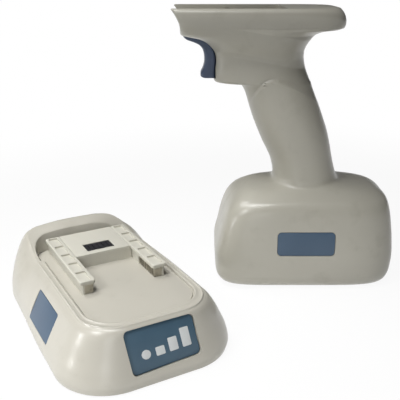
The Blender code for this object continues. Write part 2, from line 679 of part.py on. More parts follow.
def housing_half(name, side, hollow, slot, opening):
    """One half of the clamshell: side is -1 for the near half and 1 for the far one."""
    rings = []
    for z in levels_between(SKIN[0, 0], SEAM_Z):
        ring = half_ring(z, skin_at(z), GAP / 2)
        rings.append(ring if side > 0 else mirrored(ring))
    half = loft(name, rings, HOUSING)
    cut(half, hollow, opening)
    seam_y = side * GAP / 2
    for number, (x, z) in enumerate(seam_screw_places()):
        wall_y = side * (side_at(x, z) - HANDSET_WALL / 2)
        radius = SEAM_HEAD_BOSS if side > 0 else SEAM_BOSS
        tag = name + "_" + str(number)
        add(half, rod("boss_" + tag, radius, (x, seam_y, z), (x, wall_y, z), cutter=True))
        deep = side * (side_at(x, z) + OVERRUN)
        if side > 0:
            cut(half, rod("bore_" + tag, SCREW_BORE, (x, -OVERRUN, z), (x, SEAM_SEAT + GAP, z), cutter=True),
                rod("well_" + tag, SCREW_POCKET, (x, SEAM_SEAT, z), (x, deep, z), cutter=True))
        else:
            end = SEAM_SEAT - SEAM_SCREW_LENGTH - GAP
            cut(half, rod("bore_" + tag, SCREW_BORE, (x, OVERRUN, z), (x, end, z), cutter=True))
    for x, at in cover_screw_places():
        if at * side < 0:
            continue
        wall_y = side_at(x, COVER_BOSS_TOP) - HANDSET_WALL / 2
        y = sorted((side * (COVER_SCREW_Y - COVER_BOSS_HALF), side * wall_y))
        low = COVER_THICKNESS + GAP
        add(half, span("cover_boss_" + name, (x - COVER_BOSS_HALF, y[0], low),
                       (x + COVER_BOSS_HALF, y[1], COVER_BOSS_TOP), cutter=True))
        cut(half, rod("cover_bore_" + name, SCREW_BORE, (x, at, low - OVERRUN),
                      (x, at, COVER_BOSS_TOP - HEAD_FLOOR), cutter=True))
    for x, at in plate_screw_places():
        if at * side < 0:
            continue
        wall_y = side_at(x, SEAM_Z - PLATE_TAB_THICKNESS) - HANDSET_WALL / 2
        y = sorted((side * (PLATE_SCREW_Y - PLATE_TAB_HALF), side * wall_y))
        add(half, span("plate_tab_" + name, (x - PLATE_TAB_HALF, y[0], SEAM_Z - PLATE_TAB_THICKNESS),
                       (x + PLATE_TAB_HALF, y[1], SEAM_Z), cutter=True))
        cut(half, rod("plate_bore_" + name, SCREW_BORE, (x, at, SEAM_Z - PLATE_TAB_THICKNESS - OVERRUN),
                      (x, at, SEAM_Z + OVERRUN), cutter=True))
    for number, share in enumerate((0.2, 0.8)):
        x = SWITCH_FRONT + share * SWITCH_LENGTH
        top = SWITCH_BOTTOM + SWITCH_HEIGHT
        wall_y = min(side_at(x, SWITCH_BOTTOM), side_at(x, top)) - HANDSET_WALL / 2
        y = sorted((side * (SWITCH_WIDTH / 2 + GAP), side * wall_y))
        add(half, span("switch_rib_" + name + "_" + str(number), (x - SWITCH_RIB / 2, y[0], SLOT_FLOOR - GAP),
                       (x + SWITCH_RIB / 2, y[1], top), cutter=True))
    add(half, pivot_cheek(name, side))
    cut(half, rod("pin_bore_" + name, PIN_RADIUS + GAP, (PIVOT.x, -PIN_LENGTH / 2 - GAP, PIVOT.z),
                  (PIVOT.x, PIN_LENGTH / 2 + GAP, PIVOT.z), cutter=True), slot)
    return half


def pivot_cheek(name, side):
    """Block inside the nose that carries one end of the trigger's pin."""
    low_z = LEDGE_HEIGHT + 0.64 * (HANDSET_HEIGHT - LEDGE_HEIGHT)
    y = sorted((side * (SLOT_HALF - GAP), side * (SLOT_HALF + CHEEK_THICKNESS)))
    front = -HEAD_SHARES[-10][1] * NOSE_REACH + HANDSET_WALL / 2
    return span("pivot_cheek_" + name, (front, y[0], low_z), (PIVOT.x + CHEEK_HALF, y[1], SEAM_Z), cutter=True)


def badge_tilt():
    """Lean of the base's near face behind the badge."""
    low, high = BADGE_Z - BADGE_HEIGHT / 2, BADGE_Z + BADGE_HEIGHT / 2
    return math.atan2(side_at(BADGE_X, low) - side_at(BADGE_X, high), BADGE_HEIGHT)


def badge_place(depth):
    """Middle of a plate that lies depth under the base's near face, and its turn."""
    turn = Matrix.Rotation(math.pi / 2 - badge_tilt(), 3, "X")
    out = turn @ Vector((0, 0, 1))
    low = side_at(BADGE_X + BADGE_LENGTH / 2, BADGE_Z)
    return Vector((BADGE_X, -low, BADGE_Z)) - out * depth, turn


def badge_pocket():
    at, turn = badge_place(BADGE_SEAT - OVERRUN)
    size = (BADGE_LENGTH + 2 * GAP, BADGE_HEIGHT + 2 * GAP, 2 * OVERRUN)
    return block("badge_pocket", size, at=at, turn=turn, cutter=True, flat=BADGE_CORNER)


def base_badge():
    at, turn = badge_place(BADGE_SEAT - GAP - BADGE_THICKNESS / 2)
    size = (BADGE_LENGTH, BADGE_HEIGHT, BADGE_THICKNESS)
    return block("base_badge", size, BLUE, at=at, turn=turn, flat=BADGE_CORNER)


def bottom_cover():
    cover = loft("bottom_cover", [cover_ring(0, COVER_RIM + GAP), cover_ring(COVER_THICKNESS, COVER_RIM + GAP)],
                 HOUSING)
    for x, y in cover_screw_places():
        cut(cover,
            rod("cover_hole", SCREW_BORE, (x, y, -OVERRUN), (x, y, COVER_THICKNESS + OVERRUN), cutter=True),
            rod("cover_well", SCREW_POCKET, (x, y, -OVERRUN), (x, y, COVER_THICKNESS - HEAD_FLOOR), cutter=True))
    return cover


def screw(name, seat, along, length, parent=None):
    """Pan-head screw: its head's seat, the way its shank points, and the shank's length."""
    seat, along = Vector(seat), Vector(along)
    head = rod(name, SCREW_HEAD, seat - along * SCREW_HEAD_HEIGHT, seat, METAL, parent)
    shank = rod(name + "_shank", SCREW_SHANK, seat - along * SCREW_HEAD_HEIGHT / 2, seat + along * length,
                parent=parent, cutter=True)
    return add(head, shank)


def dock_plate():
    """Top plate, with the channel that slides over the cradle's rails."""
    rings = [full_ring(z, skin_at(z)) for z in levels_between(SEAM_Z + GAP, HANDSET_HEIGHT)]
    plate = loft("dock_plate", rings, HOUSING)
    wide = RAIL_OUTER + CHANNEL_CLEARANCE
    mouth = RAIL_OUTER - LIP_HOLD
    front = -NOSE_REACH - OVERRUN
    cut(plate,
        span("channel", (front, -wide, CHANNEL_BOTTOM), (CHANNEL_END, wide, HANDSET_HEIGHT - LIP_THICKNESS),
             cutter=True),
        span("channel_mouth", (front, -mouth, HANDSET_HEIGHT - LIP_THICKNESS - GAP),
             (CHANNEL_END, mouth, HANDSET_HEIGHT + OVERRUN), cutter=True))
    seat = CHANNEL_BOTTOM - SCREW_HEAD_HEIGHT - GAP
    for x, y in plate_screw_places():
        cut(plate, rod("plate_hole", SCREW_BORE, (x, y, SEAM_Z - OVERRUN), (x, y, CHANNEL_BOTTOM), cutter=True),
            rod("plate_well", SCREW_POCKET, (x, y, seat), (x, y, HANDSET_HEIGHT - LIP_THICKNESS - GAP),
                cutter=True))
    x = contact_middle()
    cut(plate, rod("lead_hole", HARNESS_RADIUS + TRIGGER_CLEARANCE, (x, 0, SEAM_Z - OVERRUN),
                   (x, 0, CHANNEL_BOTTOM + OVERRUN), cutter=True))
    return plate


def contact_middle():
    return CHANNEL_END - CONTACT_BLOCK_SETBACK - CONTACT_BLOCK_LENGTH / 2


def contact_block():
    """Insulating block in the channel, between the cradle's rails when docked."""
    middle = contact_middle()
    half = RAIL_INNER - CHANNEL_CLEARANCE - CONTACT_STRIP_THICKNESS - GAP
    low = CHANNEL_BOTTOM + GAP
    return span("contact_block", (middle - CONTACT_BLOCK_LENGTH / 2, -half, low),
                (middle + CONTACT_BLOCK_LENGTH / 2, half, low + CONTACT_BLOCK_HEIGHT), DARK)


def ribbed_outline(inner, outer, groove, start, length, ribs):
    """Outline of a bar from inner to outer, with grooves between its ribs on the inner side."""
    pitch = length / (2 * ribs - 1)
    outline = []
    for rib in range(ribs):
        first = start + 2 * rib * pitch
        outline += [(inner, first), (inner, first + pitch)]
        if rib < ribs - 1:
            outline += [(groove, first + pitch), (groove, first + 2 * pitch)]
    return outline + [(outer, start + length), (outer, start)]


def contact_strip(name, side):
    """Plated strip on one flank of the contact block, which touches a comb of the cradle."""
    outer = RAIL_INNER - CHANNEL_CLEARANCE
    inner = outer - CONTACT_STRIP_THICKNESS
    low = CHANNEL_BOTTOM + GAP + (CONTACT_BLOCK_HEIGHT - CONTACT_STRIP_HEIGHT) / 2
    outline = ribbed_outline(outer, inner, (inner + outer) / 2, contact_middle() - CONTACT_STRIP_LENGTH / 2,
                             CONTACT_STRIP_LENGTH, CONTACT_STRIPS)
    return prism(name, [(x, side * y) for y, x in outline], low, low + CONTACT_STRIP_HEIGHT, "Z", PLATED)


def trigger():
    """Curved blade with an eye round its pin; its origin is on the pin's axis."""
    carrier = bpy.data.objects.new("trigger_pivot", None)
    PARTS.objects.link(carrier)
    carrier.location = PIVOT
    outline = [(x - PIVOT.x, z - PIVOT.z) for x, z in trigger_outline()]
    blade = prism("trigger", outline, -TRIGGER_WIDTH / 2, TRIGGER_WIDTH / 2, "Y", BLUE, carrier)
    eye = rod("trigger_eye", TRIGGER_EYE, (0, -TRIGGER_WIDTH / 2, 0), (0, TRIGGER_WIDTH / 2, 0),
              parent=carrier, cutter=True)
    bore = rod("trigger_bore", PIN_RADIUS + GAP, (0, -TRIGGER_WIDTH, 0), (0, TRIGGER_WIDTH, 0),
               parent=carrier, cutter=True)
    cut(add(blade, eye), bore)
    return blade


def plunger_travel():
    """How far the plunger slides when the trigger is squeezed fully."""
    return (PIVOT.z - PLUNGER_Z) * math.tan(TRIGGER_SQUEEZE)


def switch():
    """Switch body with a blind bore for its plunger, and the plunger that the trigger pushes."""
    half = SWITCH_WIDTH / 2
    body = span("switch_body", (SWITCH_FRONT, -half, SWITCH_BOTTOM),
                (SWITCH_FRONT + SWITCH_LENGTH, half, SWITCH_BOTTOM + SWITCH_HEIGHT), DARK)
    cut(body, rod("plunger_bore", PLUNGER_BORE, (SWITCH_FRONT - OVERRUN, 0, PLUNGER_Z),
                  (SWITCH_FRONT + PLUNGER_BORE_DEPTH, 0, PLUNGER_Z), cutter=True))
    rod("switch_plunger", PLUNGER_RADIUS, (TRIGGER_BACK + GAP, 0, PLUNGER_Z),
        (SWITCH_FRONT + PLUNGER_ENGAGED, 0, PLUNGER_Z), WHITE)
    return body


def trigger_spring():
    """Helical spring between the trigger's back and the switch."""
    start = TRIGGER_BACK + GAP + SPRING_WIRE
    length = SWITCH_FRONT - GAP - SPRING_WIRE - start
    count = SPRING_TURNS * SPRING_POINTS
    points = []
    for i in range(count + 1):
        turn = 2 * math.pi * i / SPRING_POINTS
        points.append((start + length * i / count, SPRING_RADIUS * math.cos(turn),
                       SPRING_Z + SPRING_RADIUS * math.sin(turn)))
    return wire("trigger_spring", points, SPRING_WIRE, METAL, sides=1)


def cell_places():
    """y and z of each cell's axis."""
    places = []
    for layer in range(CELL_LAYERS):
        z = STACK_BOTTOM + HOLDER_EDGE + CELL_RADIUS + layer * CELL_PITCH
        for column in range(CELL_COLUMNS):
            places.append(((column - (CELL_COLUMNS - 1) / 2) * CELL_PITCH, z))
    return places


def battery():
    """Cells in two end holders, with their links, and the board on top."""
    half = CELL_LENGTH / 2
    for number, (y, z) in enumerate(cell_places()):
        rod("battery_cell_" + str(number + 1), CELL_RADIUS, (-half, y, z), (half, y, z), WRAP)
    for name, side in (("cell_holder_front", -1), ("cell_holder_rear", 1)):
        x = sorted((side * (half - HOLDER_SETBACK), side * (half - HOLDER_SETBACK - HOLDER_THICKNESS)))
        holder = span(name, (x[0], -STACK_HALF, STACK_BOTTOM), (x[1], STACK_HALF, STACK_TOP), DARK)
        for number, (y, z) in enumerate(cell_places()):
            cut(holder, rod(name + "_bore_" + str(number), CELL_RADIUS + GAP, (x[0] - OVERRUN, y, z),
                            (x[1] + OVERRUN, y, z), cutter=True))
    for name, side in (("cell_link_front", -1), ("cell_link_rear", 1)):
        cell_link(name, side)
    battery_board()


def cell_link(name, side):
    """Sheet that joins one end of all the cells: a strip up each column and a bar across."""
    half = CELL_LENGTH / 2
    x = sorted((side * (half + GAP), side * (half + GAP + LINK_THICKNESS)))
    low = STACK_BOTTOM + HOLDER_EDGE + CELL_RADIUS - LINK_WIDTH / 2
    high = low + (CELL_LAYERS - 1) * CELL_PITCH + LINK_WIDTH
    reach = (CELL_COLUMNS - 1) / 2 * CELL_PITCH + LINK_WIDTH / 2
    bar = (low + high) / 2
    link = span(name, (x[0], -reach, bar - LINK_WIDTH / 4), (x[1], reach, bar + LINK_WIDTH / 4), PLATED)
    for column in range(CELL_COLUMNS):
        y = (column - (CELL_COLUMNS - 1) / 2) * CELL_PITCH
        add(link, span(name + "_" + str(column), (x[0], y - LINK_WIDTH / 2, low),
                       (x[1], y + LINK_WIDTH / 2, high), cutter=True))
    return link


def board_with_parts(name, low, high, table, tall, parent=None):
    """Circuit board with its parts soldered on: each part's middle and size in shares of the board."""
    board = span(name, low, high, BOARD, parent)
    size = Vector(high) - Vector(low)
    for number, (x, y, wide, deep, share) in enumerate(table):
        x, y = low[0] + x * size.x, low[1] + y * size.y
        wide, deep = wide * size.x / 2, deep * size.y / 2
        add(board, span(name + "_part_" + str(number), (x - wide, y - deep, high[2] - GAP),
                        (x + wide, y + deep, high[2] + share * tall), parent=parent, cutter=True))
    return board


def battery_board():
    """Board on the cells' holders, with the parts that guard and switch the battery."""
    return board_with_parts("battery_board", (-BATTERY_BOARD_LENGTH / 2, -BATTERY_BOARD_WIDTH / 2, BOARD_BOTTOM),
                            (BATTERY_BOARD_LENGTH / 2, BATTERY_BOARD_WIDTH / 2, BOARD_TOP),
                            BATTERY_PART_SHARES, BOARD_PART_HEIGHT)


def harnesses():
    """Leads held inside: battery to contact block, and battery to switch."""
    low = BOARD_TOP + GAP + BOARD_PART_HEIGHT
    foot = (BATTERY_PART_SHARES[-2][0] - 0.5) * BATTERY_BOARD_LENGTH
    middle = contact_middle()
    neck = skin_at(LEDGE_HEIGHT + HEAD_SCREW_SHARE * (HANDSET_HEIGHT - LEDGE_HEIGHT))[1]
    route = [(foot, 0, low), (foot, 0, low + 3 * HARNESS_RADIUS)]
    for share in (0.1, 0.35, 0.6, 0.85):
        z = BASE_HEIGHT + share * (LEDGE_HEIGHT - BASE_HEIGHT)
        route.append((grip_middle(z) + HARNESS_OFFSET, 0, z))
    bend = LEDGE_HEIGHT + HEAD_SCREW_SHARE * (HANDSET_HEIGHT - LEDGE_HEIGHT)
    boss = neck - HEAD_SCREW_INSET - SEAM_HEAD_BOSS
    route.append(((SWITCH_FRONT + SWITCH_LENGTH + boss) / 2, 0, bend))
    route.append((middle, 0, SEAM_Z - 3 * HARNESS_RADIUS))
    route.append((middle, 0, CHANNEL_BOTTOM))
    wire("main_harness", smooth_line(route, 4), HARNESS_RADIUS, LEAD)
    foot = (BATTERY_PART_SHARES[-1][0] - 0.5) * BATTERY_BOARD_LENGTH
    back = SWITCH_FRONT + SWITCH_LENGTH + GAP
    side = -SWITCH_LEAD_SIDE
    route = [(foot, side, low), (foot, side, low + 3 * HARNESS_RADIUS)]
    for share in (0.1, 0.35):
        z = BASE_HEIGHT + share * (LEDGE_HEIGHT - BASE_HEIGHT)
        route.append((grip_middle(z) - HARNESS_OFFSET / 2, side, z))
    route.append((grip_middle(LEDGE_HEIGHT - HEAD_SCREW_INSET) - HARNESS_OFFSET / 2, side,
                  LEDGE_HEIGHT - HEAD_SCREW_INSET))
    route.append((back + 3 * HARNESS_RADIUS, side, PLUNGER_Z - HARNESS_RADIUS))
    route.append((back, side, PLUNGER_Z))
    wire("switch_lead", smooth_line(route, 4), SWITCH_LEAD_RADIUS, DARK)


def handset():
    hollow = cavity()
    slot = slot_cutter()
    opening = loft("cover_opening",
                   [cover_ring(-OVERRUN, COVER_RIM), cover_ring(COVER_THICKNESS + OVERRUN, COVER_RIM)],
                   cutter=True)
    near = housing_half("housing_left", -1, hollow, slot, opening)
    cut(near, badge_pocket())
    housing_half("housing_right", 1, hollow, slot, opening)
    dock_plate()
    bottom_cover()
    base_badge()
    contact_block()
    contact_strip("contact_strip_left", -1)
    contact_strip("contact_strip_right", 1)
    trigger()
    rod("trigger_pin", PIN_RADIUS, (PIVOT.x, -PIN_LENGTH / 2, PIVOT.z), (PIVOT.x, PIN_LENGTH / 2, PIVOT.z), METAL)
    switch()
    trigger_spring()
    battery()
    harnesses()
    for number, (x, z) in enumerate(seam_screw_places()):
        screw("housing_screw_" + str(number + 1), (x, SEAM_SEAT + GAP, z), (0, -1, 0), SEAM_SCREW_LENGTH)
    for number, (x, y) in enumerate(cover_screw_places()):
        screw("cover_screw_" + str(number + 1), (x, y, COVER_THICKNESS - HEAD_FLOOR - GAP), (0, 0, 1),
              SCREW_LENGTH)
    for number, (x, y) in enumerate(plate_screw_places()):
        screw("plate_screw_" + str(number + 1), (x, y, CHANNEL_BOTTOM - SCREW_HEAD_HEIGHT), (0, 0, -1),
              SCREW_LENGTH)


# Skin of the cradle, in the cradle's own frame: X to its right, Y to its back

def ease(share):
    share = np.clip(share, 0, 1)
    return share * share * (3 - 2 * share)


def plan(half, front, back, front_corner, back_corner):
    """Rounded rectangle, from the middle of its back round by the right and back again."""
    def corner(x, y, radius, first, last):
        turn = np.radians(np.linspace(first, last, CORNER_STEPS + 1))
        return np.column_stack([x + radius * np.cos(turn), y + radius * np.sin(turn)])
    rear = corner(half - back_corner, back - back_corner, back_corner, 90, 0)
    fore = corner(half - front_corner, front_corner - front, front_corner, 0, -90)
    right = np.vstack([[[0, back]], rear, fore, [[0, -front]]])
    return np.vstack([right, right[::-1][1:-1] * [-1, 1]])


def hump_rise(points):
    """Height of the hump over the lip: nothing along the front, an arch across the back."""
    arm, wall = HUMP_ARM_SHARE * CRADLE_BACK, HUMP_WALL_SHARE * CRADLE_BACK
    climb = ease((points[:, 1] - arm) / (wall - arm))
    across = np.clip(np.abs(points[:, 0]) / (HUMP_HALF_SHARE * CRADLE_WIDTH / 2), 0, 1)
    return HUMP_RISE * climb * (HUMP_SIDE_SHARE + (1 - HUMP_SIDE_SHARE) * (1 - across ** 2))


def cradle_ring(row, inset=0.0, level=None):
    """One row of the cradle's skin as points, moved inwards by inset, or flat at a level."""
    fore, aft, front, back, front_corner, back_corner, height, rise = row
    unit = CRADLE_WIDTH / 2
    points = plan(fore * unit - inset, front * CRADLE_FRONT - inset, back * CRADLE_BACK - inset,
                  front_corner * unit - inset, back_corner * unit - inset)
    start, end = TAPER_START_SHARE * CRADLE_FRONT, TAPER_END_SHARE * CRADLE_BACK
    taper = (aft - fore) * unit * ease((points[:, 1] - start) / (end - start))
    taper *= np.clip(1.4 * np.abs(points[:, 0]) / (fore * unit), 0, 1)
    points[:, 0] += np.sign(points[:, 0]) * taper
    if level is not None:
        z = np.full(len(points), level)
    elif height is None:
        z = np.full(len(points), DECK_HEIGHT)
    else:
        z = height * LIP_HEIGHT + rise * hump_rise(points)
    return np.column_stack([points, z])


def cradle_line(height, column):
    """A value of the skin's rows at a height, along the front where there is no hump."""
    rows = [row for row in CRADLE_SHARES if row[6] is not None][:7]
    scale = {0: CRADLE_WIDTH / 2, 1: CRADLE_WIDTH / 2, 2: CRADLE_FRONT, 3: CRADLE_BACK}[column]
    return scale * float(np.interp(height, [r[6] * LIP_HEIGHT for r in rows], [r[column] for r in rows]))


def cradle_cavity():
    """Hollow under the deck, one wall inside the skin, open at the bottom."""
    top = DECK_HEIGHT - CRADLE_WALL
    rings = [cradle_ring(CRADLE_SHARES[0], CRADLE_WALL, -OVERRUN)]
    for row in CRADLE_SHARES[1:7]:
        level = row[6] * LIP_HEIGHT
        if level < top - CRADLE_WALL:
            rings.append(cradle_ring(row, CRADLE_WALL, level))
    rings.append(cradle_ring(CRADLE_SHARES[6], CRADLE_WALL, top))
    return loft("cradle_cavity", rings, parent=FRAME, cutter=True)


FRAME = bpy.data.objects.new("cradle_frame", None)
PARTS.objects.link(FRAME)
FRAME.location = (CRADLE_X, CRADLE_Y, 0)
FRAME.rotation_euler = (0, 0, CRADLE_TURN)

DECK_TOP = DECK_HEIGHT + GAP
DECK_UNDER = DECK_HEIGHT - CRADLE_WALL
BASE_LOW = FOOT_PROUD
BASE_HIGH = FOOT_PROUD + BASE_PLATE_THICKNESS
WEB_OUTER = RAIL_OUTER - RAIL_WEB_INSET
COMB_TOP = RAIL_TOP - RAIL_CAP_THICKNESS
CHARGER_BOTTOM = BASE_HIGH + BOARD_POST_HEIGHT + GAP
CHARGER_TOP = CHARGER_BOTTOM + BOARD_THICKNESS


def base_screw_places():
    """x and y of the two screws that hold the cradle's base."""
    return [(0, -BASE_SCREW_FRONT), (0, BASE_SCREW_BACK)]


def panel_turn():
    """Turn that lays a flat plate on the cradle's sloping front, facing forward."""
    low, high = PANEL_Z - PANEL_HEIGHT / 2, PANEL_Z + PANEL_HEIGHT / 2
    lean = math.atan2(cradle_line(low, 2) - cradle_line(high, 2), PANEL_HEIGHT)
    return Matrix.Rotation(math.pi / 2 - lean, 3, "X")


def panel_place(depth, along=0.0, up=0.0):
    """Point of the front panel: depth behind the skin, along and up from the panel's middle."""
    turn = panel_turn()
    middle = Vector((PANEL_X, -cradle_line(PANEL_Z, 2) - PANEL_CLEAR, PANEL_Z))
    return middle + turn @ Vector((along, up, -depth))


def side_turn():
    """Turn that lays a flat plate on the cradle's sloping left side, facing left."""
    middle = SIDE_BADGE_SHARE * LIP_HEIGHT
    low, high = middle - SIDE_BADGE_HEIGHT / 2, middle + SIDE_BADGE_HEIGHT / 2
    lean = math.atan2(cradle_line(low, 0) - cradle_line(high, 0), SIDE_BADGE_HEIGHT)
    return Matrix.Rotation(-math.pi / 2, 3, "Z") @ Matrix.Rotation(math.pi / 2 - lean, 3, "X")


def side_place(depth):
    level = SIDE_BADGE_SHARE * LIP_HEIGHT
    middle = Vector((-cradle_line(level, 0), SIDE_BADGE_Y, level))
    return middle + side_turn() @ Vector((0, 0, -depth))


def bar_places():
    """Middle along and up, and height, of each level bar on the panel."""
    bars = []
    for number, share in enumerate(BAR_HEIGHT_SHARES):
        along = (BAR_FIRST_SHARE + number * BAR_PITCH_SHARE) * PANEL_LENGTH
        tall = share * PANEL_HEIGHT
        bars.append((along, BAR_FOOT_SHARE * PANEL_HEIGHT + tall / 2, tall))
    return bars


def window_places():
    up = BAR_FOOT_SHARE * PANEL_HEIGHT + WINDOW_RADIUS
    return WINDOW_X_SHARE * PANEL_LENGTH, up


# Cradle pieces

def cradle_housing():
    shell = loft("cradle_housing", [cradle_ring(row) for row in CRADLE_SHARES], HOUSING, FRAME)
    cut(shell, cradle_cavity())
    half = HUMP_HALF_SHARE * CRADLE_WIDTH / 2 - 2 * CRADLE_WALL
    near = CRADLE_SHARES[-1][3] * CRADLE_BACK + CRADLE_WALL
    far = CRADLE_SHARES[6][3] * CRADLE_BACK
    high = LIP_HEIGHT + HUMP_SIDE_SHARE * HUMP_RISE - CRADLE_WALL
    cut(shell, span("hump_core", (-half, near, DECK_UNDER - GAP), (half, far, high), parent=FRAME, cutter=True))
    for number, (x, y) in enumerate(base_screw_places()):
        tag = str(number)
        add(shell, rod("base_boss_" + tag, BASE_BOSS, (x, y, BASE_HIGH + GAP), (x, y, DECK_UNDER + GAP),
                       parent=FRAME, cutter=True))
        cut(shell, rod("base_bore_" + tag, SCREW_BORE, (x, y, BASE_HIGH - OVERRUN),
                       (x, y, BASE_HIGH + SCREW_LENGTH), parent=FRAME, cutter=True))
    cut(shell, block("panel_pocket", (PANEL_LENGTH + 2 * GAP, PANEL_HEIGHT + 2 * GAP, 2 * OVERRUN),
                     parent=FRAME, at=panel_place(PANEL_SEAT + PANEL_CLEAR - OVERRUN), turn=panel_turn(),
                     cutter=True, flat=PANEL_CORNER),
        block("side_pocket", (SIDE_BADGE_LENGTH + 2 * GAP, SIDE_BADGE_HEIGHT + 2 * GAP, 2 * OVERRUN),
              parent=FRAME, at=side_place(BADGE_SEAT - OVERRUN), turn=side_turn(), cutter=True,
              flat=BADGE_CORNER))
    cut_light_holes(shell)
    cut(shell, socket_cutter("deck_socket", 0, DECK_UNDER - OVERRUN))
    for side in (-1, 1):
        x, y = comb_tail_place(side)
        cut(shell, rod("tail_hole", COMB_TAIL + GAP, (x, y, DECK_UNDER - OVERRUN), (x, y, DECK_HEIGHT + OVERRUN),
                       parent=FRAME, cutter=True))
    cut(shell, inlet_span("inlet_hole", GAP, OVERRUN))
    for number, along in enumerate((-1, 1)):
        at = along * (LIGHT_BOARD_LENGTH / 2 - 2 * LIGHT_POST)
        seat = PANEL_CLEAR + CRADLE_WALL + LIGHT_BOARD_SETBACK - GAP
        up = LIGHT_BOARD_HEIGHT / 2 - 2 * LIGHT_POST
        start = panel_place(PANEL_CLEAR + PANEL_SEAT + GAP, at, up)
        add(shell, rod("light_post_" + str(number), LIGHT_POST, start, panel_place(seat, at, up),
                       parent=FRAME, cutter=True))
    return shell


def cut_light_holes(shell):
    """Holes behind the windows of the front panel."""
    along, up = window_places()
    deep = PANEL_CLEAR + CRADLE_WALL + OVERRUN
    cut(shell, rod("window_hole", WINDOW_RADIUS / 2, panel_place(-OVERRUN, along, up),
                   panel_place(deep, along, up), parent=FRAME, cutter=True))
    for number, (along, up, tall) in enumerate(bar_places()):
        cut(shell, block("bar_hole_" + str(number), (BAR_WIDTH / 2, tall / 2, 2 * deep), parent=FRAME,
                         at=panel_place(0, along, up), turn=panel_turn(), cutter=True))


def level_panel():
    """Blue panel on the front, with one round window and three bars of rising height."""
    turn = panel_turn()
    middle = PANEL_CLEAR + PANEL_SEAT - GAP - PANEL_THICKNESS / 2
    panel = block("level_panel", (PANEL_LENGTH, PANEL_HEIGHT, PANEL_THICKNESS), BLUE, FRAME,
                  panel_place(middle), turn, flat=PANEL_CORNER)
    face = middle - PANEL_THICKNESS / 2
    seat = PANEL_CLEAR + PANEL_SEAT - GAP
    along, up = window_places()
    cut(panel, rod("panel_hole", WINDOW_RADIUS + GAP, panel_place(face - OVERRUN, along, up),
                   panel_place(seat + OVERRUN, along, up), parent=FRAME, cutter=True))
    rod("power_window", WINDOW_RADIUS, panel_place(face, along, up), panel_place(seat, along, up), WHITE, FRAME)
    for number, (along, up, tall) in enumerate(bar_places()):
        at = panel_place((face + seat) / 2, along, up)
        size = (BAR_WIDTH, tall, seat - face)
        block("level_bar_" + str(number + 1), size, WHITE, FRAME, at, turn, flat=BAR_FLAT)
        cut(panel, block("bar_gap_" + str(number), (BAR_WIDTH + 2 * GAP, tall + 2 * GAP, 2 * OVERRUN),
                         parent=FRAME, at=at, turn=turn, cutter=True, flat=BAR_FLAT))


def light_board():
    """Small board behind the panel, on two posts of the housing, with a light for each window."""
    turn = panel_turn()
    front = PANEL_CLEAR + CRADLE_WALL + LIGHT_BOARD_SETBACK
    board = block("light_board", (LIGHT_BOARD_LENGTH, LIGHT_BOARD_HEIGHT, BOARD_THICKNESS), BOARD, FRAME,
                  panel_place(front + BOARD_THICKNESS / 2), turn)
    spots = [window_places()] + [(along, up) for along, up, tall in bar_places()]
    for number, (along, up) in enumerate(spots):
        up = min(up, LIGHT_BOARD_HEIGHT / 2 - LIGHT_SIZE)
        add(board, block("light_" + str(number), (LIGHT_SIZE, LIGHT_SIZE, 2 * LIGHT_SIZE), parent=FRAME,
                         at=panel_place(front, along, up), turn=turn, cutter=True))
    return board


def side_badge():
    size = (SIDE_BADGE_LENGTH, SIDE_BADGE_HEIGHT, BADGE_THICKNESS)
    return block("side_badge", size, BLUE, FRAME, side_place(BADGE_SEAT - GAP - BADGE_THICKNESS / 2),
                 side_turn(), flat=BADGE_CORNER)


def rail(name, side):
    """One rail: a web with an outward lip on top, a row of shallow pockets and a hollow front."""
    def x_pair(a, b):
        return sorted((side * a, side * b))
    low, high = x_pair(RAIL_INNER, WEB_OUTER)
    body = span(name, (low, -RAIL_FRONT, DECK_TOP), (high, RAIL_BACK, RAIL_TOP - GAP), DECK, FRAME)
    low, high = x_pair(RAIL_INNER, RAIL_OUTER)
    add(body, span(name + "_lip", (low, -RAIL_FRONT, RAIL_TOP - RAIL_LIP), (high, RAIL_BACK, RAIL_TOP),
                   parent=FRAME, cutter=True, flat=RAIL_POCKET_RIB))
    low, high = x_pair(RAIL_INNER + RAIL_POCKET_RIB, RAIL_OUTER - RAIL_POCKET_RIB)
    pitch = (RAIL_FRONT + RAIL_BACK - RAIL_POCKET_RIB) / RAIL_POCKETS
    for number in range(RAIL_POCKETS):
        start = -RAIL_FRONT + RAIL_POCKET_RIB + number * pitch
        cut(body, span(name + "_pocket_" + str(number), (low, start, RAIL_TOP - RAIL_POCKET_DEPTH),
                       (high, start + pitch - RAIL_POCKET_RIB, RAIL_TOP + OVERRUN), parent=FRAME, cutter=True))
    low, high = x_pair(RAIL_INNER - OVERRUN, RAIL_INNER + COMB_DEPTH + 2 * GAP)
    cut(body, span(name + "_front", (low, -RAIL_FRONT - OVERRUN, DECK_TOP - OVERRUN),
                   (high, -RAIL_FRONT + COMB_SETBACK + COMB_LENGTH + GAP, COMB_TOP), parent=FRAME, cutter=True))
    return body


def comb_tail_place(side):
    return (side * (RAIL_INNER + GAP + COMB_GROOVE + (COMB_DEPTH - COMB_GROOVE) / 2),
            -RAIL_FRONT + COMB_SETBACK + COMB_LENGTH / 2)


def contact_comb(name, side):
    """Plated block with upright ribs in the front end of a rail, and its post to the board below."""
    inner, outer = RAIL_INNER + GAP, RAIL_INNER + GAP + COMB_DEPTH
    start = -RAIL_FRONT + COMB_SETBACK
    outline = ribbed_outline(inner, outer, inner + COMB_GROOVE, start, COMB_LENGTH, COMB_RIBS)
    comb = prism(name, [(side * x, y) for x, y in outline], DECK_TOP, COMB_TOP - GAP, "Z", PLATED, FRAME)
    x, y = comb_tail_place(side)
    add(comb, rod(name + "_tail", COMB_TAIL, (x, y, CHARGER_TOP + GAP), (x, y, DECK_TOP + COMB_TAIL),
                  parent=FRAME, cutter=True, sides=ROUND_SIDES // 2))
    return comb


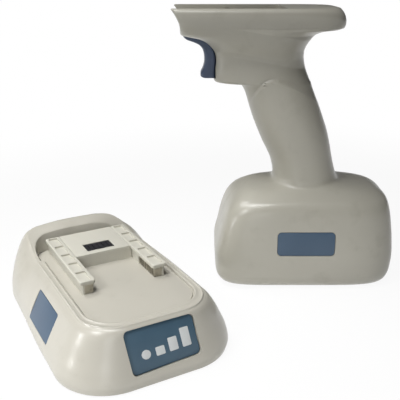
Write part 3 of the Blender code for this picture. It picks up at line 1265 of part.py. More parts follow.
def socket_cutter(name, spare, low):
    """Through hole for the socket, in the platform or in the deck."""
    x, y = SOCKET_LENGTH / 2 + spare, SOCKET_WIDTH / 2 + spare
    return span(name, (-x, SOCKET_Y - y, low), (x, SOCKET_Y + y, RAIL_TOP + OVERRUN), parent=FRAME, cutter=True)


def dock_platform():
    """Raised step between the backs of the rails, with the socket's window."""
    half = RAIL_INNER - GAP
    step = span("dock_platform", (-half, STEP_FRONT, DECK_TOP), (half, RAIL_BACK, RAIL_TOP), DECK, FRAME)
    return cut(step, socket_cutter("platform_window", 0, DECK_HEIGHT))


def dock_socket():
    """Black socket under the platform's window, with its contact blades and its lead."""
    x, y = SOCKET_LENGTH / 2 - GAP, SOCKET_WIDTH / 2 - GAP
    low, high = DECK_UNDER - CRADLE_WALL, RAIL_TOP - SOCKET_DEPTH
    span("dock_socket", (-x, SOCKET_Y - y, low), (x, SOCKET_Y + y, high), DARK, FRAME)
    pitch = SOCKET_LENGTH / (SOCKET_BLADE_COUNT + 1)
    blades = span("socket_blades", (-x + pitch / 2, SOCKET_Y - y / 4, high + GAP),
                  (x - pitch / 2, SOCKET_Y + y / 4, high + GAP + SOCKET_BLADE), PLATED, FRAME)
    for number in range(SOCKET_BLADE_COUNT):
        at = -SOCKET_LENGTH / 2 + (number + 1) * pitch
        add(blades, span("socket_blade_" + str(number), (at - SOCKET_BLADE / 2, SOCKET_Y - y / 2, high + GAP),
                         (at + SOCKET_BLADE / 2, SOCKET_Y + y / 2, high + SOCKET_DEPTH / 2), parent=FRAME,
                         cutter=True))
    foot = (0, SOCKET_Y, CHARGER_TOP + GAP)
    wire("dock_lead", smooth_line([foot, (0, SOCKET_Y, foot[2] + 2 * DOCK_LEAD_RADIUS),
                                   (2 * DOCK_LEAD_RADIUS, SOCKET_Y, (foot[2] + low) / 2),
                                   (0, SOCKET_Y, low - 2 * DOCK_LEAD_RADIUS), (0, SOCKET_Y, low - GAP)], 4),
         DOCK_LEAD_RADIUS, LEAD, FRAME)


def foot_places():
    return [(side * FOOT_X, y) for side in (-1, 1) for y in (-FOOT_FRONT, FOOT_BACK)]


def board_posts():
    x = CHARGER_BOARD_LENGTH / 2 - BOARD_POST_INSET
    y = CHARGER_BOARD_WIDTH / 2 - BOARD_POST_INSET
    return [(a * x, CHARGER_BOARD_Y + b * y) for a in (-1, 1) for b in (-1, 1)]


def cradle_base():
    """Bottom plate inside the housing's rim, with posts for the board and seats for the feet."""
    inset = CRADLE_WALL + GAP
    plate = loft("cradle_base", [cradle_ring(CRADLE_SHARES[0], inset, BASE_LOW),
                                 cradle_ring(CRADLE_SHARES[0], inset, BASE_HIGH)], HOUSING, FRAME)
    for number, (x, y) in enumerate(board_posts()):
        add(plate, rod("board_post_" + str(number), BOARD_POST, (x, y, BASE_HIGH - GAP),
                       (x, y, BASE_HIGH + BOARD_POST_HEIGHT), parent=FRAME, cutter=True, sides=ROUND_SIDES // 2))
    for number, (x, y) in enumerate(foot_places()):
        seat = FOOT_THICKNESS + GAP
        cut(plate, rod("foot_seat_" + str(number), FOOT_RADIUS + GAP, (x, y, -OVERRUN), (x, y, seat),
                       parent=FRAME, cutter=True))
        rod("rubber_foot_" + str(number + 1), FOOT_RADIUS, (x, y, 0), (x, y, FOOT_THICKNESS), RUBBER, FRAME)
    for number, (x, y) in enumerate(base_screw_places()):
        cut(plate, rod("base_hole_" + str(number), SCREW_BORE, (x, y, -OVERRUN), (x, y, BASE_HIGH + OVERRUN),
                       parent=FRAME, cutter=True),
            rod("base_well_" + str(number), SCREW_POCKET, (x, y, -OVERRUN),
                (x, y, BASE_HIGH - HEAD_FLOOR), parent=FRAME, cutter=True))
        screw("base_screw_" + str(number + 1), (x, y, BASE_HIGH - HEAD_FLOOR - GAP), (0, 0, 1), SCREW_LENGTH,
              FRAME)


def charger():
    """Charger board on the base's posts, with its parts and its coil."""
    x, y = CHARGER_BOARD_LENGTH / 2, CHARGER_BOARD_WIDTH / 2
    board_with_parts("charger_board", (-x, CHARGER_BOARD_Y - y, CHARGER_BOTTOM),
                     (x, CHARGER_BOARD_Y + y, CHARGER_TOP),
                     CHARGER_PART_SHARES, CHARGER_PART_HEIGHT, FRAME)
    low = CHARGER_TOP + GAP
    coil_y = CHARGER_BOARD_Y + y - COIL_WIDTH / 2 - COIL_FLANGE
    coil_x = -x + COIL_LENGTH / 2 + COIL_FLANGE
    coil = span("charger_coil", (coil_x - COIL_LENGTH / 2 + COIL_FLANGE, coil_y - COIL_WIDTH / 2 + COIL_FLANGE,
                                 low), (coil_x + COIL_LENGTH / 2 - COIL_FLANGE,
                                        coil_y + COIL_WIDTH / 2 - COIL_FLANGE, low + COIL_HEIGHT - GAP),
                WINDING, FRAME)
    for number, at in enumerate((low, low + COIL_HEIGHT - COIL_FLANGE)):
        add(coil, span("coil_flange_" + str(number), (coil_x - COIL_LENGTH / 2, coil_y - COIL_WIDTH / 2, at),
                       (coil_x + COIL_LENGTH / 2, coil_y + COIL_WIDTH / 2, at + COIL_FLANGE),
                       parent=FRAME, cutter=True))


def inlet_middle():
    return BASE_HIGH + GAP + INLET_HEIGHT / 2


def inlet_span(name, spare, past, material=None, cutter=True):
    """Box of the power inlet, through the cradle's back wall."""
    back = cradle_line(inlet_middle(), 3) + INLET_PROUD
    half, tall = INLET_WIDTH / 2 + spare, INLET_HEIGHT / 2 + spare
    z = inlet_middle()
    return span(name, (-half, back - INLET_LENGTH - spare, z - tall), (half, back + past, z + tall), material,
                FRAME, cutter)


def dc_inlet():
    """Barrel socket for the supply's plug, and the pin in its middle."""
    body = inlet_span("dc_inlet", 0, 0, DARK, False)
    back = cradle_line(inlet_middle(), 3) + INLET_PROUD
    z = inlet_middle()
    deep = back - INLET_LENGTH + CRADLE_WALL
    cut(body, rod("inlet_bore", INLET_BORE, (0, deep, z), (0, back + OVERRUN, z), parent=FRAME, cutter=True))
    add(body, rod("inlet_pin", INLET_PIN, (0, deep - GAP, z), (0, back - CRADLE_WALL / 2, z), parent=FRAME,
                  cutter=True, sides=ROUND_SIDES // 2))


def cradle():
    cradle_housing()
    cradle_base()
    rail("rail_left", -1)
    rail("rail_right", 1)
    dock_platform()
    contact_comb("contact_comb_left", -1)
    contact_comb("contact_comb_right", 1)
    dock_socket()
    charger()
    dc_inlet()
    level_panel()
    light_board()
    side_badge()


handset()
cradle()
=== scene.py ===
"""Looks of the battery handset and its charging cradle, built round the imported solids."""
import math

import bmesh
import bpy
import numpy as np
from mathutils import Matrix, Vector


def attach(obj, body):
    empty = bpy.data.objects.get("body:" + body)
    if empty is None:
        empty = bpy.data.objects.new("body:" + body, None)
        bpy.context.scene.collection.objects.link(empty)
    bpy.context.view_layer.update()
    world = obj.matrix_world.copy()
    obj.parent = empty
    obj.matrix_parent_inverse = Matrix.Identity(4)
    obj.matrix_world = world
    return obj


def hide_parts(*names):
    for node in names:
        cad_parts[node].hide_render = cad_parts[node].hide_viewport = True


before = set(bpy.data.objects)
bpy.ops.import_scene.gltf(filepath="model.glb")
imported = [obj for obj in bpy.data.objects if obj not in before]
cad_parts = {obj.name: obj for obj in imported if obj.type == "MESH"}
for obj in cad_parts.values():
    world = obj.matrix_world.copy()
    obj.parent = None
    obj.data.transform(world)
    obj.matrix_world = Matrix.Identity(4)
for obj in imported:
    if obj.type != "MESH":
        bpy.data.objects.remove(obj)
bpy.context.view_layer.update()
MM = 0.001


# Shader expressions

class Socket:
    """A value's output socket; arithmetic on it adds Math nodes to its material."""

    def __init__(self, finish, port):
        self.finish = finish
        self.port = port

    def math(self, operation, *others):
        return self.finish.node("ShaderNodeMath", {"operation": operation}, [self, *others])

    def __add__(self, other):
        return self.math("ADD", other)

    def __radd__(self, other):
        return self.finish.node("ShaderNodeMath", {"operation": "ADD"}, [other, self])

    def __sub__(self, other):
        return self.math("SUBTRACT", other)

    def __mul__(self, other):
        return self.math("MULTIPLY", other)

    def __lt__(self, other):
        return self.math("LESS_THAN", other)

    def length(self):
        """Length of a vector."""
        return self.finish.node("ShaderNodeVectorMath", {"operation": "LENGTH"}, [self], 1)

    def ease(self, low, high):
        """0 below low, 1 above high, smooth between."""
        return self.finish.node("ShaderNodeMapRange", {"interpolation_type": "SMOOTHSTEP"},
                                {"Value": self, "From Min": low, "From Max": high})


class Finish:
    """One material, with the shader that its expressions end in."""

    def __init__(self, name):
        self.material = bpy.data.materials.new(name)
        self.material.use_nodes = True
        self.nodes = self.material.node_tree.nodes
        self.links = self.material.node_tree.links
        self.shader = self.nodes["Principled BSDF"]

    def node(self, kind, settings=None, inputs=(), output=0):
        """Add a node: its settings first, then values or links of its sockets."""
        made = self.nodes.new(kind)
        for key, value in (settings or {}).items():
            setattr(made, key, value)
        pairs = inputs.items() if isinstance(inputs, dict) else enumerate(inputs)
        for key, value in pairs:
            if isinstance(value, Socket):
                self.links.new(value.port, made.inputs[key])
            else:
                made.inputs[key].default_value = value
        return Socket(self, made.outputs[output])

    def place(self):
        """Object coordinates, the same as the frame's own."""
        return self.node("ShaderNodeTexCoord", output=3)

    def noise(self, scale, detail, rough=0.55):
        return self.node("ShaderNodeTexNoise", {}, {"Vector": self.place(), "Scale": scale,
                                                    "Detail": detail, "Roughness": rough})

    def grains(self, scale, randomness=1.0):
        return self.node("ShaderNodeTexVoronoi", {}, {"Vector": self.place(), "Scale": scale,
                                                      "Randomness": randomness})

    def mix(self, share, first, second):
        """Colour that goes from first to second with share."""
        first = (*first, 1) if isinstance(first, tuple) else first
        second = (*second, 1) if isinstance(second, tuple) else second
        return self.node("ShaderNodeMix", {"data_type": "RGBA"}, {0: share, 6: first, 7: second}, 2)

    def set(self, **sockets):
        for key, value in sockets.items():
            port = self.shader.inputs[key.replace("_", " ")]
            if isinstance(value, Socket):
                self.links.new(value.port, port)
            else:
                port.default_value = (*value, 1) if isinstance(value, tuple) else value
        return self

    def bump(self, height, strength, distance):
        return self.set(Normal=self.node("ShaderNodeBump", {}, {"Height": height, "Strength": strength,
                                                                "Distance": distance}))


def moulded_plastic(name, colour, deep, pale, rough=0.35, texture=1.0):
    """Spark-textured moulding: fine grain, slow drift of tone, a little grey handling."""
    f = Finish(name)
    drift = f.noise(9.0, 3.0, 0.6)
    mottle = f.noise(70.0, 4.0, 0.6)
    fine = f.noise(2600.0, 2.0, 0.5)
    pits = f.grains(1500.0)
    base = f.mix(drift.ease(0.35, 0.70), colour, pale)
    base = f.mix(mottle.ease(0.52, 0.78) * 0.35, base, deep)
    scuff = f.noise(240.0, 5.0, 0.7).ease(0.66, 0.80) * f.noise(16.0, 2.0, 0.5).ease(0.52, 0.66)
    base = f.mix(scuff * 0.30, base, deep)
    f.set(Base_Color=base, Roughness=rough + (fine - 0.5) * 0.10 + (mottle - 0.5) * 0.10 + scuff * 0.12,
          Coat_Weight=0.25, Coat_Roughness=0.22)
    return f.bump(pits * 0.6 + fine * 0.7 + mottle * 0.35, 0.13 * texture, 0.0002).material


def tinted_plastic(name, colour, pale, rough):
    """Smooth tinted moulding or foil with faint dust and slow drift."""
    f = Finish(name)
    drift = f.noise(28.0, 4.0, 0.6)
    dust = f.noise(420.0, 5.0, 0.7)
    base = f.mix(drift.ease(0.35, 0.7), colour, pale)
    base = f.mix(dust.ease(0.66, 0.80) * 0.22, base, (0.26, 0.29, 0.31))
    f.set(Base_Color=base, Roughness=rough + (drift - 0.5) * 0.12 + dust.ease(0.6, 0.8) * 0.12)
    return f.bump(f.noise(1900.0, 2.0, 0.5) + dust * 0.4, 0.08, 0.0002).material


def pale_print(name, colour):
    """Printed or moulded white with faint yellowing and specks."""
    f = Finish(name)
    drift = f.noise(120.0, 4.0, 0.6)
    specks = f.noise(900.0, 3.0, 0.6)
    base = f.mix(drift.ease(0.4, 0.75) * 0.5, colour, tuple(0.86 * c for c in colour))
    base = f.mix(specks.ease(0.68, 0.8) * 0.3, base, (0.35, 0.34, 0.30))
    f.set(Base_Color=base, Roughness=0.38 + (specks - 0.5) * 0.1)
    return f.bump(specks, 0.06, 0.0002).material


def dark_plastic(name, colour, rough):
    """Dark moulding or rubber with a mottled, slightly dusty face."""
    f = Finish(name)
    mottle = f.noise(300.0, 4.0, 0.6)
    base = f.mix(mottle.ease(0.5, 0.75), colour, tuple(2.2 * c + 0.006 for c in colour))
    f.set(Base_Color=base, Roughness=rough + (mottle - 0.5) * 0.15)
    return f.bump(mottle + f.noise(2200.0, 2.0), 0.10, 0.0002).material


def worn_metal(name, colour, rough, streak=1.0):
    """Plated or turned metal: fine drawn lines, dull spots where it was touched."""
    f = Finish(name)
    stretched = f.node("ShaderNodeMapping", {}, {"Vector": f.place(), "Scale": (140.0, 140.0, 3200.0)})
    lines = f.node("ShaderNodeTexNoise", {}, {"Vector": stretched, "Scale": 1.0, "Detail": 3.0})
    dull = f.noise(160.0, 4.0, 0.65)
    base = f.mix(dull.ease(0.45, 0.75), colour, tuple(0.62 * c for c in colour))
    f.set(Base_Color=base, Metallic=1.0,
          Roughness=rough + (lines - 0.5) * 0.16 * streak + dull.ease(0.5, 0.75) * 0.16)
    return f.bump(lines, 0.12 * streak, 0.0002).material


def circuit_board(name):
    """Green solder mask with tracks, and paler pads."""
    f = Finish(name)
    tracks = f.node("ShaderNodeTexBrick", {}, {"Vector": f.place(), "Scale": 260.0, "Mortar Size": 0.03}, 1)
    pads = f.grains(420.0, 0.4)
    base = f.mix(tracks, (0.012, 0.105, 0.045), (0.03, 0.19, 0.08))
    base = f.mix(pads < 0.16, base, (0.45, 0.42, 0.36))
    f.set(Base_Color=base, Roughness=0.32 + pads * 0.2)
    return f.bump(tracks * 0.5 + pads * 0.2, 0.2, 0.0002).material


def cell_wrap(name):
    """Shrink sleeve with faint crinkles."""
    f = Finish(name)
    crinkle = f.noise(240.0, 4.0, 0.6)
    f.set(Base_Color=f.mix(crinkle.ease(0.4, 0.7), (0.05, 0.19, 0.30), (0.08, 0.25, 0.37)),
          Roughness=0.25 + crinkle * 0.2)
    return f.bump(crinkle, 0.15, 0.0004).material


HANDSET_GREY = moulded_plastic("handset_plastic", (0.43, 0.415, 0.355), (0.335, 0.315, 0.26),
                               (0.455, 0.44, 0.38))
CRADLE_GREY = moulded_plastic("cradle_plastic", (0.485, 0.465, 0.405), (0.38, 0.36, 0.30),
                              (0.51, 0.49, 0.43), rough=0.31, texture=0.8)
RAIL_GREY = moulded_plastic("rail_plastic", (0.57, 0.555, 0.485), (0.45, 0.435, 0.37),
                            (0.595, 0.58, 0.51), rough=0.40, texture=0.9)
TRIGGER_BLUE = tinted_plastic("trigger_plastic", (0.060, 0.084, 0.142), (0.070, 0.096, 0.160), 0.42)
BADGE_BLUE = tinted_plastic("badge_foil", (0.052, 0.092, 0.148), (0.062, 0.106, 0.165), 0.34)
PANEL_BLUE = tinted_plastic("panel_foil", (0.048, 0.098, 0.146), (0.058, 0.114, 0.166), 0.32)
PRINT_WHITE = pale_print("window_white", (0.64, 0.665, 0.665))
BLACK = dark_plastic("black_moulding", (0.014, 0.014, 0.017), 0.40)
RUBBER = dark_plastic("foot_rubber", (0.022, 0.022, 0.022), 0.78)
LEAD = dark_plastic("lead_jacket", (0.20, 0.016, 0.012), 0.5)
STEEL = worn_metal("screw_steel", (0.52, 0.52, 0.53), 0.30)
NICKEL = worn_metal("contact_nickel", (0.50, 0.47, 0.40), 0.38)
COPPER = worn_metal("coil_copper", (0.60, 0.26, 0.11), 0.30, 2.0)
BOARD = circuit_board("circuit_board")
WRAP = cell_wrap("cell_wrap")


# Mesh tools

def mesh_object(name, shape):
    """A mesh from points in millimetres and faces, without doubles, every face turned outwards."""
    points, faces = shape
    mesh = bpy.data.meshes.new(name)
    mesh.from_pydata(np.asarray(points, float) * MM, [], faces)
    work = bmesh.new()
    work.from_mesh(mesh)
    bmesh.ops.remove_doubles(work, verts=work.verts, dist=1e-7)
    bmesh.ops.recalc_face_normals(work, faces=work.faces)
    work.to_mesh(mesh)
    work.free()
    made = bpy.data.objects.new(name, mesh)
    bpy.context.scene.collection.objects.link(made)
    return made


def piece(name, shape, material, body, nodes=(), angle=35):
    """A shaded mesh that rides on a body and stands for nodes of the frame."""
    made = mesh_object(name, shape)
    made.data.materials.append(material)
    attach(made, body)
    if nodes:
        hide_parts(*nodes)
    return shade(made, angle)


def shade(made, angle):
    """Smooth shading, with edges sharper than an angle kept crisp."""
    work = bmesh.new()
    work.from_mesh(made.data)
    limit = math.radians(angle)
    for face in work.faces:
        face.smooth = True
    for edge in work.edges:
        edge.smooth = len(edge.link_faces) == 2 and edge.calc_face_angle(0) < limit
    work.to_mesh(made.data)
    work.free()
    return made


def bake(made):
    """Put a piece's modifiers into its mesh."""
    graph = bpy.context.evaluated_depsgraph_get()
    mesh = bpy.data.meshes.new_from_object(made.evaluated_get(graph))
    made.modifiers.clear()
    old = made.data
    made.data = mesh
    bpy.data.meshes.remove(old)
    return made


def thicken(made, wall):
    """Give an open skin its wall, inwards."""
    step = made.modifiers.new("wall", "SOLIDIFY")
    step.thickness = wall * MM
    step.offset = -1
    step.use_rim = True
    return bake(made)


def carve(made, *shapes):
    """Cut closed shapes out of a piece."""
    cutters = [mesh_object("tool", shape) for shape in shapes]
    for cutter in cutters:
        step = made.modifiers.new("cut", "BOOLEAN")
        step.operation = "DIFFERENCE"
        step.solver = "EXACT"
        step.object = cutter
    bake(made)
    for cutter in cutters:
        mesh = cutter.data
        bpy.data.objects.remove(cutter, do_unlink=True)
        bpy.data.meshes.remove(mesh)
    return made


def grid_faces(rows, columns, wrap=False):
    """Quads of a grid of points, rows by columns, closed round the columns when wrap is set."""
    i = np.arange(rows - 1)[:, None]
    j = np.arange(columns if wrap else columns - 1)[None, :]
    k = (j + 1) % columns
    corners = (i * columns + j, i * columns + k, (i + 1) * columns + k, (i + 1) * columns + j)
    return np.stack([np.broadcast_to(c, (rows - 1, j.shape[1])).ravel() for c in corners], 1).tolist()


def tube_faces(rows, columns):
    """Faces of closed rings in a row, with a cap on each end."""
    last = (rows - 1) * columns
    caps = [list(range(columns))[::-1], list(range(last, last + columns))]
    return grid_faces(rows, columns, True) + caps


def joined(*shapes):
    """Several closed shapes as one list of points and faces."""
    points, faces, count = [], [], 0
    for some, sides in shapes:
        points.append(some)
        faces += [[i + count for i in face] for face in sides]
        count += len(some)
    return np.vstack(points), faces


def ease(t):
    """0 to 1, smooth at both ends: 3t^2 - 2t^3."""
    t = np.clip(t, 0, 1)
    return t * t * (3 - 2 * t)


def through(table, at):
    """Monotone cubic through the rows of a table (slopes are weighted harmonic means), read at places."""
    table = np.asarray(table, float)
    x, y = table[:, 0], table[:, 1:]
    h = np.diff(x)[:, None]
    d = np.diff(y, axis=0) / h
    slope = np.zeros_like(y)
    w1, w2 = 2 * h[1:] + h[:-1], h[1:] + 2 * h[:-1]
    same = d[:-1] * d[1:] > 0
    before, after = np.where(same, d[:-1], 1), np.where(same, d[1:], 1)
    slope[1:-1] = np.where(same, (w1 + w2) / (w1 / before + w2 / after), 0)
    slope[0], slope[-1] = d[0], d[-1]
    at = np.clip(np.asarray(at, float), x[0], x[-1])
    k = np.clip(np.searchsorted(x, at, side="right") - 1, 0, len(h) - 1)
    t = ((at - x[k]) / h[k, 0])[:, None]
    return ((1 + 2 * t) * (1 - t) ** 2 * y[k] + t * (1 - t) ** 2 * h[k] * slope[k]
            + t * t * (3 - 2 * t) * y[k + 1] + t * t * (t - 1) * h[k] * slope[k + 1])


def inset(outline, distance):
    """A closed outline, counter-clockwise, moved inwards along its own normals."""
    def unit(lines):
        return lines / np.linalg.norm(lines, axis=1)[:, None]

    along = unit(unit(np.roll(outline, -1, 0) - outline) + unit(outline - np.roll(outline, 1, 0)))
    return outline + distance * np.column_stack([-along[:, 1], along[:, 0]])


def rounded(width, height, radius, middle=(0, 0), steps=8):
    """Rectangle with round corners: a quarter circle at each, counter-clockwise."""
    turn = np.linspace(0, math.pi / 2, steps + 1)
    arcs = []
    for number, (a, b) in enumerate(((1, 1), (-1, 1), (-1, -1), (1, -1))):
        angle = turn + number * math.pi / 2
        arcs.append(np.column_stack([a * (width / 2 - radius) + radius * np.cos(angle),
                                     b * (height / 2 - radius) + radius * np.sin(angle)]))
    return np.vstack(arcs) + middle


def slab(outline, low, high, top=0.0, foot=0.0):
    """Points and faces of a flat plate whose edges turn over as quarter circles, top and foot."""
    turn = np.linspace(0, math.pi / 2, 5)
    under = [(foot * (1 - math.cos(t)), low + foot * (1 - math.sin(t))) for t in turn[::-1]]
    over = [(top * (1 - math.cos(t)), high - top * (1 - math.sin(t))) for t in turn]
    rows = (under if foot else [(0, low)]) + (over if top else [(0, high)])
    rings = [np.column_stack([inset(outline, step), np.full(len(outline), level)]) for step, level in rows]
    return np.vstack(rings), tube_faces(len(rings), len(outline))


def placed(shape, turn, middle=(0, 0, 0)):
    """A shape turned by the rows of a matrix and moved to a middle."""
    points, faces = shape
    return np.asarray(points) @ np.array(turn, float).T + np.array(middle, float), faces


# Handset, in millimetres: rows of height, front, back, half width, squareness at the front and back.
# The half width leaves out the grip's swell.

BODY_ROWS = (
    (0.8, -62.6, 56.6, 29.8, 6.0, 5.0), (2.3, -65.0, 59.2, 32.4, 6.0, 5.0),
    (5, -67.2, 61.4, 34.9, 6.0, 5.0), (8, -68.6, 62.6, 36.4, 6.0, 5.0), (12, -69.2, 63.5, 37.4, 6.0, 5.0),
    (23, -69.4, 64.3, 37.8, 6.0, 5.0), (35, -66.9, 63.5, 36.9, 6.0, 5.0), (47, -64.3, 62.0, 35.8, 5.9, 4.9),
    (57, -60.8, 60.4, 34.6, 5.6, 4.7), (61.6, -57.9, 59.3, 33.6, 5.3, 4.5),
    (65.7, -54.2, 57.8, 31.4, 4.8, 4.2), (69.3, -49.3, 54.0, 27.2, 4.2, 3.8),
    (71.9, -44.4, 48.8, 23.6, 3.6, 3.3), (73.4, -38.6, 42.0, 21.6, 3.0, 2.9),
    (74.4, -32.6, 33.8, 20.4, 2.7, 2.65), (75.4, -28.6, 27.0, 19.9, 2.5, 2.45),
    (77.0, -26.5, 23.0, 19.5, 2.4, 2.4), (80.0, -25.8, 21.4, 19.2, 2.35, 2.35),
    (90.8, -27.9, 18.0, 19.1, 2.3, 2.3), (98, -31.0, 16.3, 19.3, 2.3, 2.3),
    (104.7, -34.5, 14.8, 19.6, 2.3, 2.3), (113.9, -38.6, 12.2, 19.9, 2.3, 2.3),
    (122.9, -42.3, 8.9, 20.1, 2.3, 2.3), (131.8, -45.3, 5.4, 20.1, 2.3, 2.3),
    (140.6, -48.1, 1.6, 19.9, 2.4, 2.35), (145.2, -50.4, -0.3, 19.8, 2.6, 2.35),
    (147.6, -52.6, -1.1, 19.7, 2.9, 2.4), (148.9, -56.0, -1.6, 19.6, 3.2, 2.4))
HEAD_ROWS = (
    (148.9, -67.8, -1.6, 19.6, 3.2, 2.4), (149.1, -69.2, -1.8, 19.6, 3.3, 2.4),
    (149.9, -70.8, -2.3, 19.6, 3.6, 2.4), (151.5, -71.3, -3.1, 19.6, 3.9, 2.4),
    (155, -71.3, -4.6, 19.5, 4.0, 2.45), (158, -71.3, -5.8, 19.4, 4.0, 2.5),
    (163.3, -71.0, -7.2, 19.3, 3.7, 2.6), (167.4, -71.2, -7.8, 19.5, 3.6, 2.6),
    (170.8, -72.0, -7.7, 20.8, 3.7, 2.6), (173.4, -73.6, -7.1, 22.6, 4.0, 2.7),
    (175.6, -75.6, -6.2, 24.5, 4.4, 2.8), (178.0, -79.0, -4.8, 26.5, 5.0, 2.9),
    (179.6, -82.8, -3.6, 27.7, 5.4, 3.0), (180.6, -86.8, -2.7, 28.4, 5.8, 3.0),
    (181.4, -90.8, -1.9, 29.0, 6.2, 3.0), (182.1, -93.4, -1.0, 29.5, 6.6, 3.0),
    (182.9, -94.2, 0.3, 30.0, 8.0, 3.2), (183.9, -94.3, 2.2, 30.7, 9.6, 3.6),
    (184.8, -94.3, 4.8, 31.2, 12, 4.2), (185.5, -94.3, 8.6, 31.6, 14, 5.0),
    (186.1, -94.3, 12.4, 31.9, 16, 6.0), (187.2, -94.3, 15.6, 32.5, 18, 6.5))
PLATE_ROWS = (
    (187.24, -94.3, 15.8, 32.5, 18, 6.5), (188.2, -94.4, 16.4, 33.0, 19, 6.5),
    (189.5, -94.6, 16.8, 33.6, 20, 6.5), (191.5, -95.3, 16.9, 34.3, 20, 6.4),
    (193.7, -96.3, 16.5, 34.9, 20, 6.2), (195.7, -97.4, 15.9, 35.2, 20, 6.0),
    (197.4, -98.5, 15.1, 35.0, 20, 5.6), (198.7, -99.5, 14.3, 34.4, 20, 5.2),
    (199.5, -100.1, 13.7, 33.6, 20, 5.0), (200.0, -99.8, 13.1, 32.6, 20, 5.0))
# From the seat of the bottom cover, over the rim on the floor, to the outer skin
FOOT_ROWS = ((3.5, -57.5, 51.6, 24.8, 4.2, 3.4), (0.3, -57.5, 51.6, 24.8, 4.2, 3.4),
             (0, -57.8, 51.9, 25.1, 4.2, 3.4), (0, -59.4, 53.4, 26.6, 5.2, 4.2),
             (0.1, -60.4, 54.4, 27.6, 5.4, 4.4), (0.4, -61.4, 55.4, 28.6, 5.4, 4.4))
# Top of the grip's swell on its side: x and height
SWELL_EDGE = np.array([(-56, 96), (-47.2, 126), (-44.8, 135), (-43.0, 141.2), (-39.6, 146.6), (-35.6, 149.8),
                       (-31, 151.4), (-27, 151.6), (-19.1, 149.4), (-9.3, 144.4), (0.8, 138), (12, 130)])
SWELL = 3.0
SWELL_STEP = 3.6
AROUND = 96             # faces from the back round one side to the front
# Where on that way, as shares, the front's squareness takes over from the back's
FORE_STARTS = 0.42
FORE_TAKES = 0.16
# The flare under the head starts lower towards the tail: by this share of the way from FLARE_FROM
FLARE_FALL = 0.17
FLARE_FROM = -58.0
FLARE_REACH = 60
# Over the ledge the sections keep the grip's widest place, and leave it over this height
LEDGE = 148.9
LEDGE_MIDDLE = -28.8
LEDGE_TOP = 166
LEDGE_FADE = 16


def half_sections(rows):
    """Half sections as a grid, from the back round one side to the front.

    A section is a superellipse: its reach at an angle is (|cos|^n + |sin|^n)^(-1/n), scaled by its
    length to the front or back and its half width. The swell widens it below the swell's edge, and
    the flare under the head takes the half width of a higher section towards the tail.
    """
    z, front, rear, half, fore, aft = (c[:, None] for c in np.asarray(rows, float).T)
    turn = np.linspace(0, math.pi, AROUND + 1)[None, :]
    c, s = np.cos(turn), np.sin(turn)
    forward = ease((turn / math.pi - FORE_STARTS) / FORE_TAKES)
    square = aft * (1 - forward) + fore * forward
    reach = (np.abs(c) ** square + np.abs(s) ** square) ** (-1 / square)
    middle = (front + rear) / 2
    held = ease((LEDGE_TOP - z) / LEDGE_FADE) * (z > LEDGE - 0.1)
    middle = middle + (LEDGE_MIDDLE - middle) * held
    x = middle + np.where(c > 0, rear - middle, middle - front) * c * reach
    flare = np.array(HEAD_ROWS)[:, [0, 3]]
    lift = FLARE_FALL * np.clip(x - FLARE_FROM, 0, FLARE_REACH)
    raised = np.interp(z + lift, flare[:, 0], flare[:, 1])
    half = np.where((z > flare[0, 0]) & (z < flare[-1, 0]), raised, half)
    edge = np.interp(x, SWELL_EDGE[:, 0], SWELL_EDGE[:, 1])
    below = ease((edge - z + SWELL_STEP / 2) / SWELL_STEP)
    y = (half + SWELL * below) * s * reach
    y[:, [0, -1]] = 0
    return np.stack([x, y, np.broadcast_to(z, x.shape)], 2)


def spaced(*stops):
    """Heights with a count of steps between each pair of stops: low, count, high, count, ..."""
    levels = [np.linspace(stops[k], stops[k + 2], stops[k + 1], endpoint=False)
              for k in range(0, len(stops) - 2, 2)]
    return np.concatenate([*levels, [stops[-1]]])


def body_sections():
    """Rows of the body's skin: cover's seat, foot, base, grip, the ledge's flat underside, head."""
    low = spaced(0.8, 14, 12, 20, 56, 40, 82, 10, 92, 22, 136, 26, LEDGE)
    high = spaced(LEDGE, 10, 151.5, 12, 158, 12, 167, 34, 180, 30, 186.1, 5, 187.2)
    low = np.column_stack([low, through(BODY_ROWS, low)])
    high = np.column_stack([high, through(HEAD_ROWS, high)])
    share = np.linspace(0, 1, 7)[1:-1, None]
    ledge = low[-1] * (1 - share) + high[0] * share
    return half_sections(np.vstack([FOOT_ROWS, low, ledge, high]))


# Handset's walls and cuts, in millimetres
HANDSET_WALL = 1.6
SEAM_GAP = 0.08         # from the middle plane to each half
SEAM_GROOVE = 0.18      # depth of the groove along the seam
SLOT_HALF = 11.5
SLOT_LOW = 151.8
SLOT_FRONT = -93.2
# The skin round the slot: in front of an x, between two heights
ROUND_SLOT = (-60.0, 149.2, 181.8)
SEAM_SCREWS = ((-46.0, 30.0), (46.0, 30.0), (-25.65, 118.31), (-18.26, 165.35))
WELL_SEAT = 5.0         # from the middle plane to the seats of the seam's screws
WELL_BORE = 3.1         # radii of their wells
WELL_SKIN = 4.5
BADGE_TILT = 0.0910
BADGE_TURN = [[1, 0, 0], [0, math.sin(BADGE_TILT), -math.cos(BADGE_TILT)],
              [0, math.cos(BADGE_TILT), math.sin(BADGE_TILT)]]
BADGE_MIDDLE = (-4.0, -39.68, 37.4)
BADGE_DEPTH = 0.95
# Badges, the panel and their pockets: width, height, corner radius
BADGE = (41.5, 17.6, 3.0)
BADGE_POCKET = (42.1, 18.2, 3.2)
SIDE_BADGE = (37.5, 20.0, 1.3)
SIDE_POCKET = (38.1, 20.6, 1.6)
PANEL = (43.6, 26.5, 3.0)
PANEL_POCKET = (44.4, 27.3, 3.4)


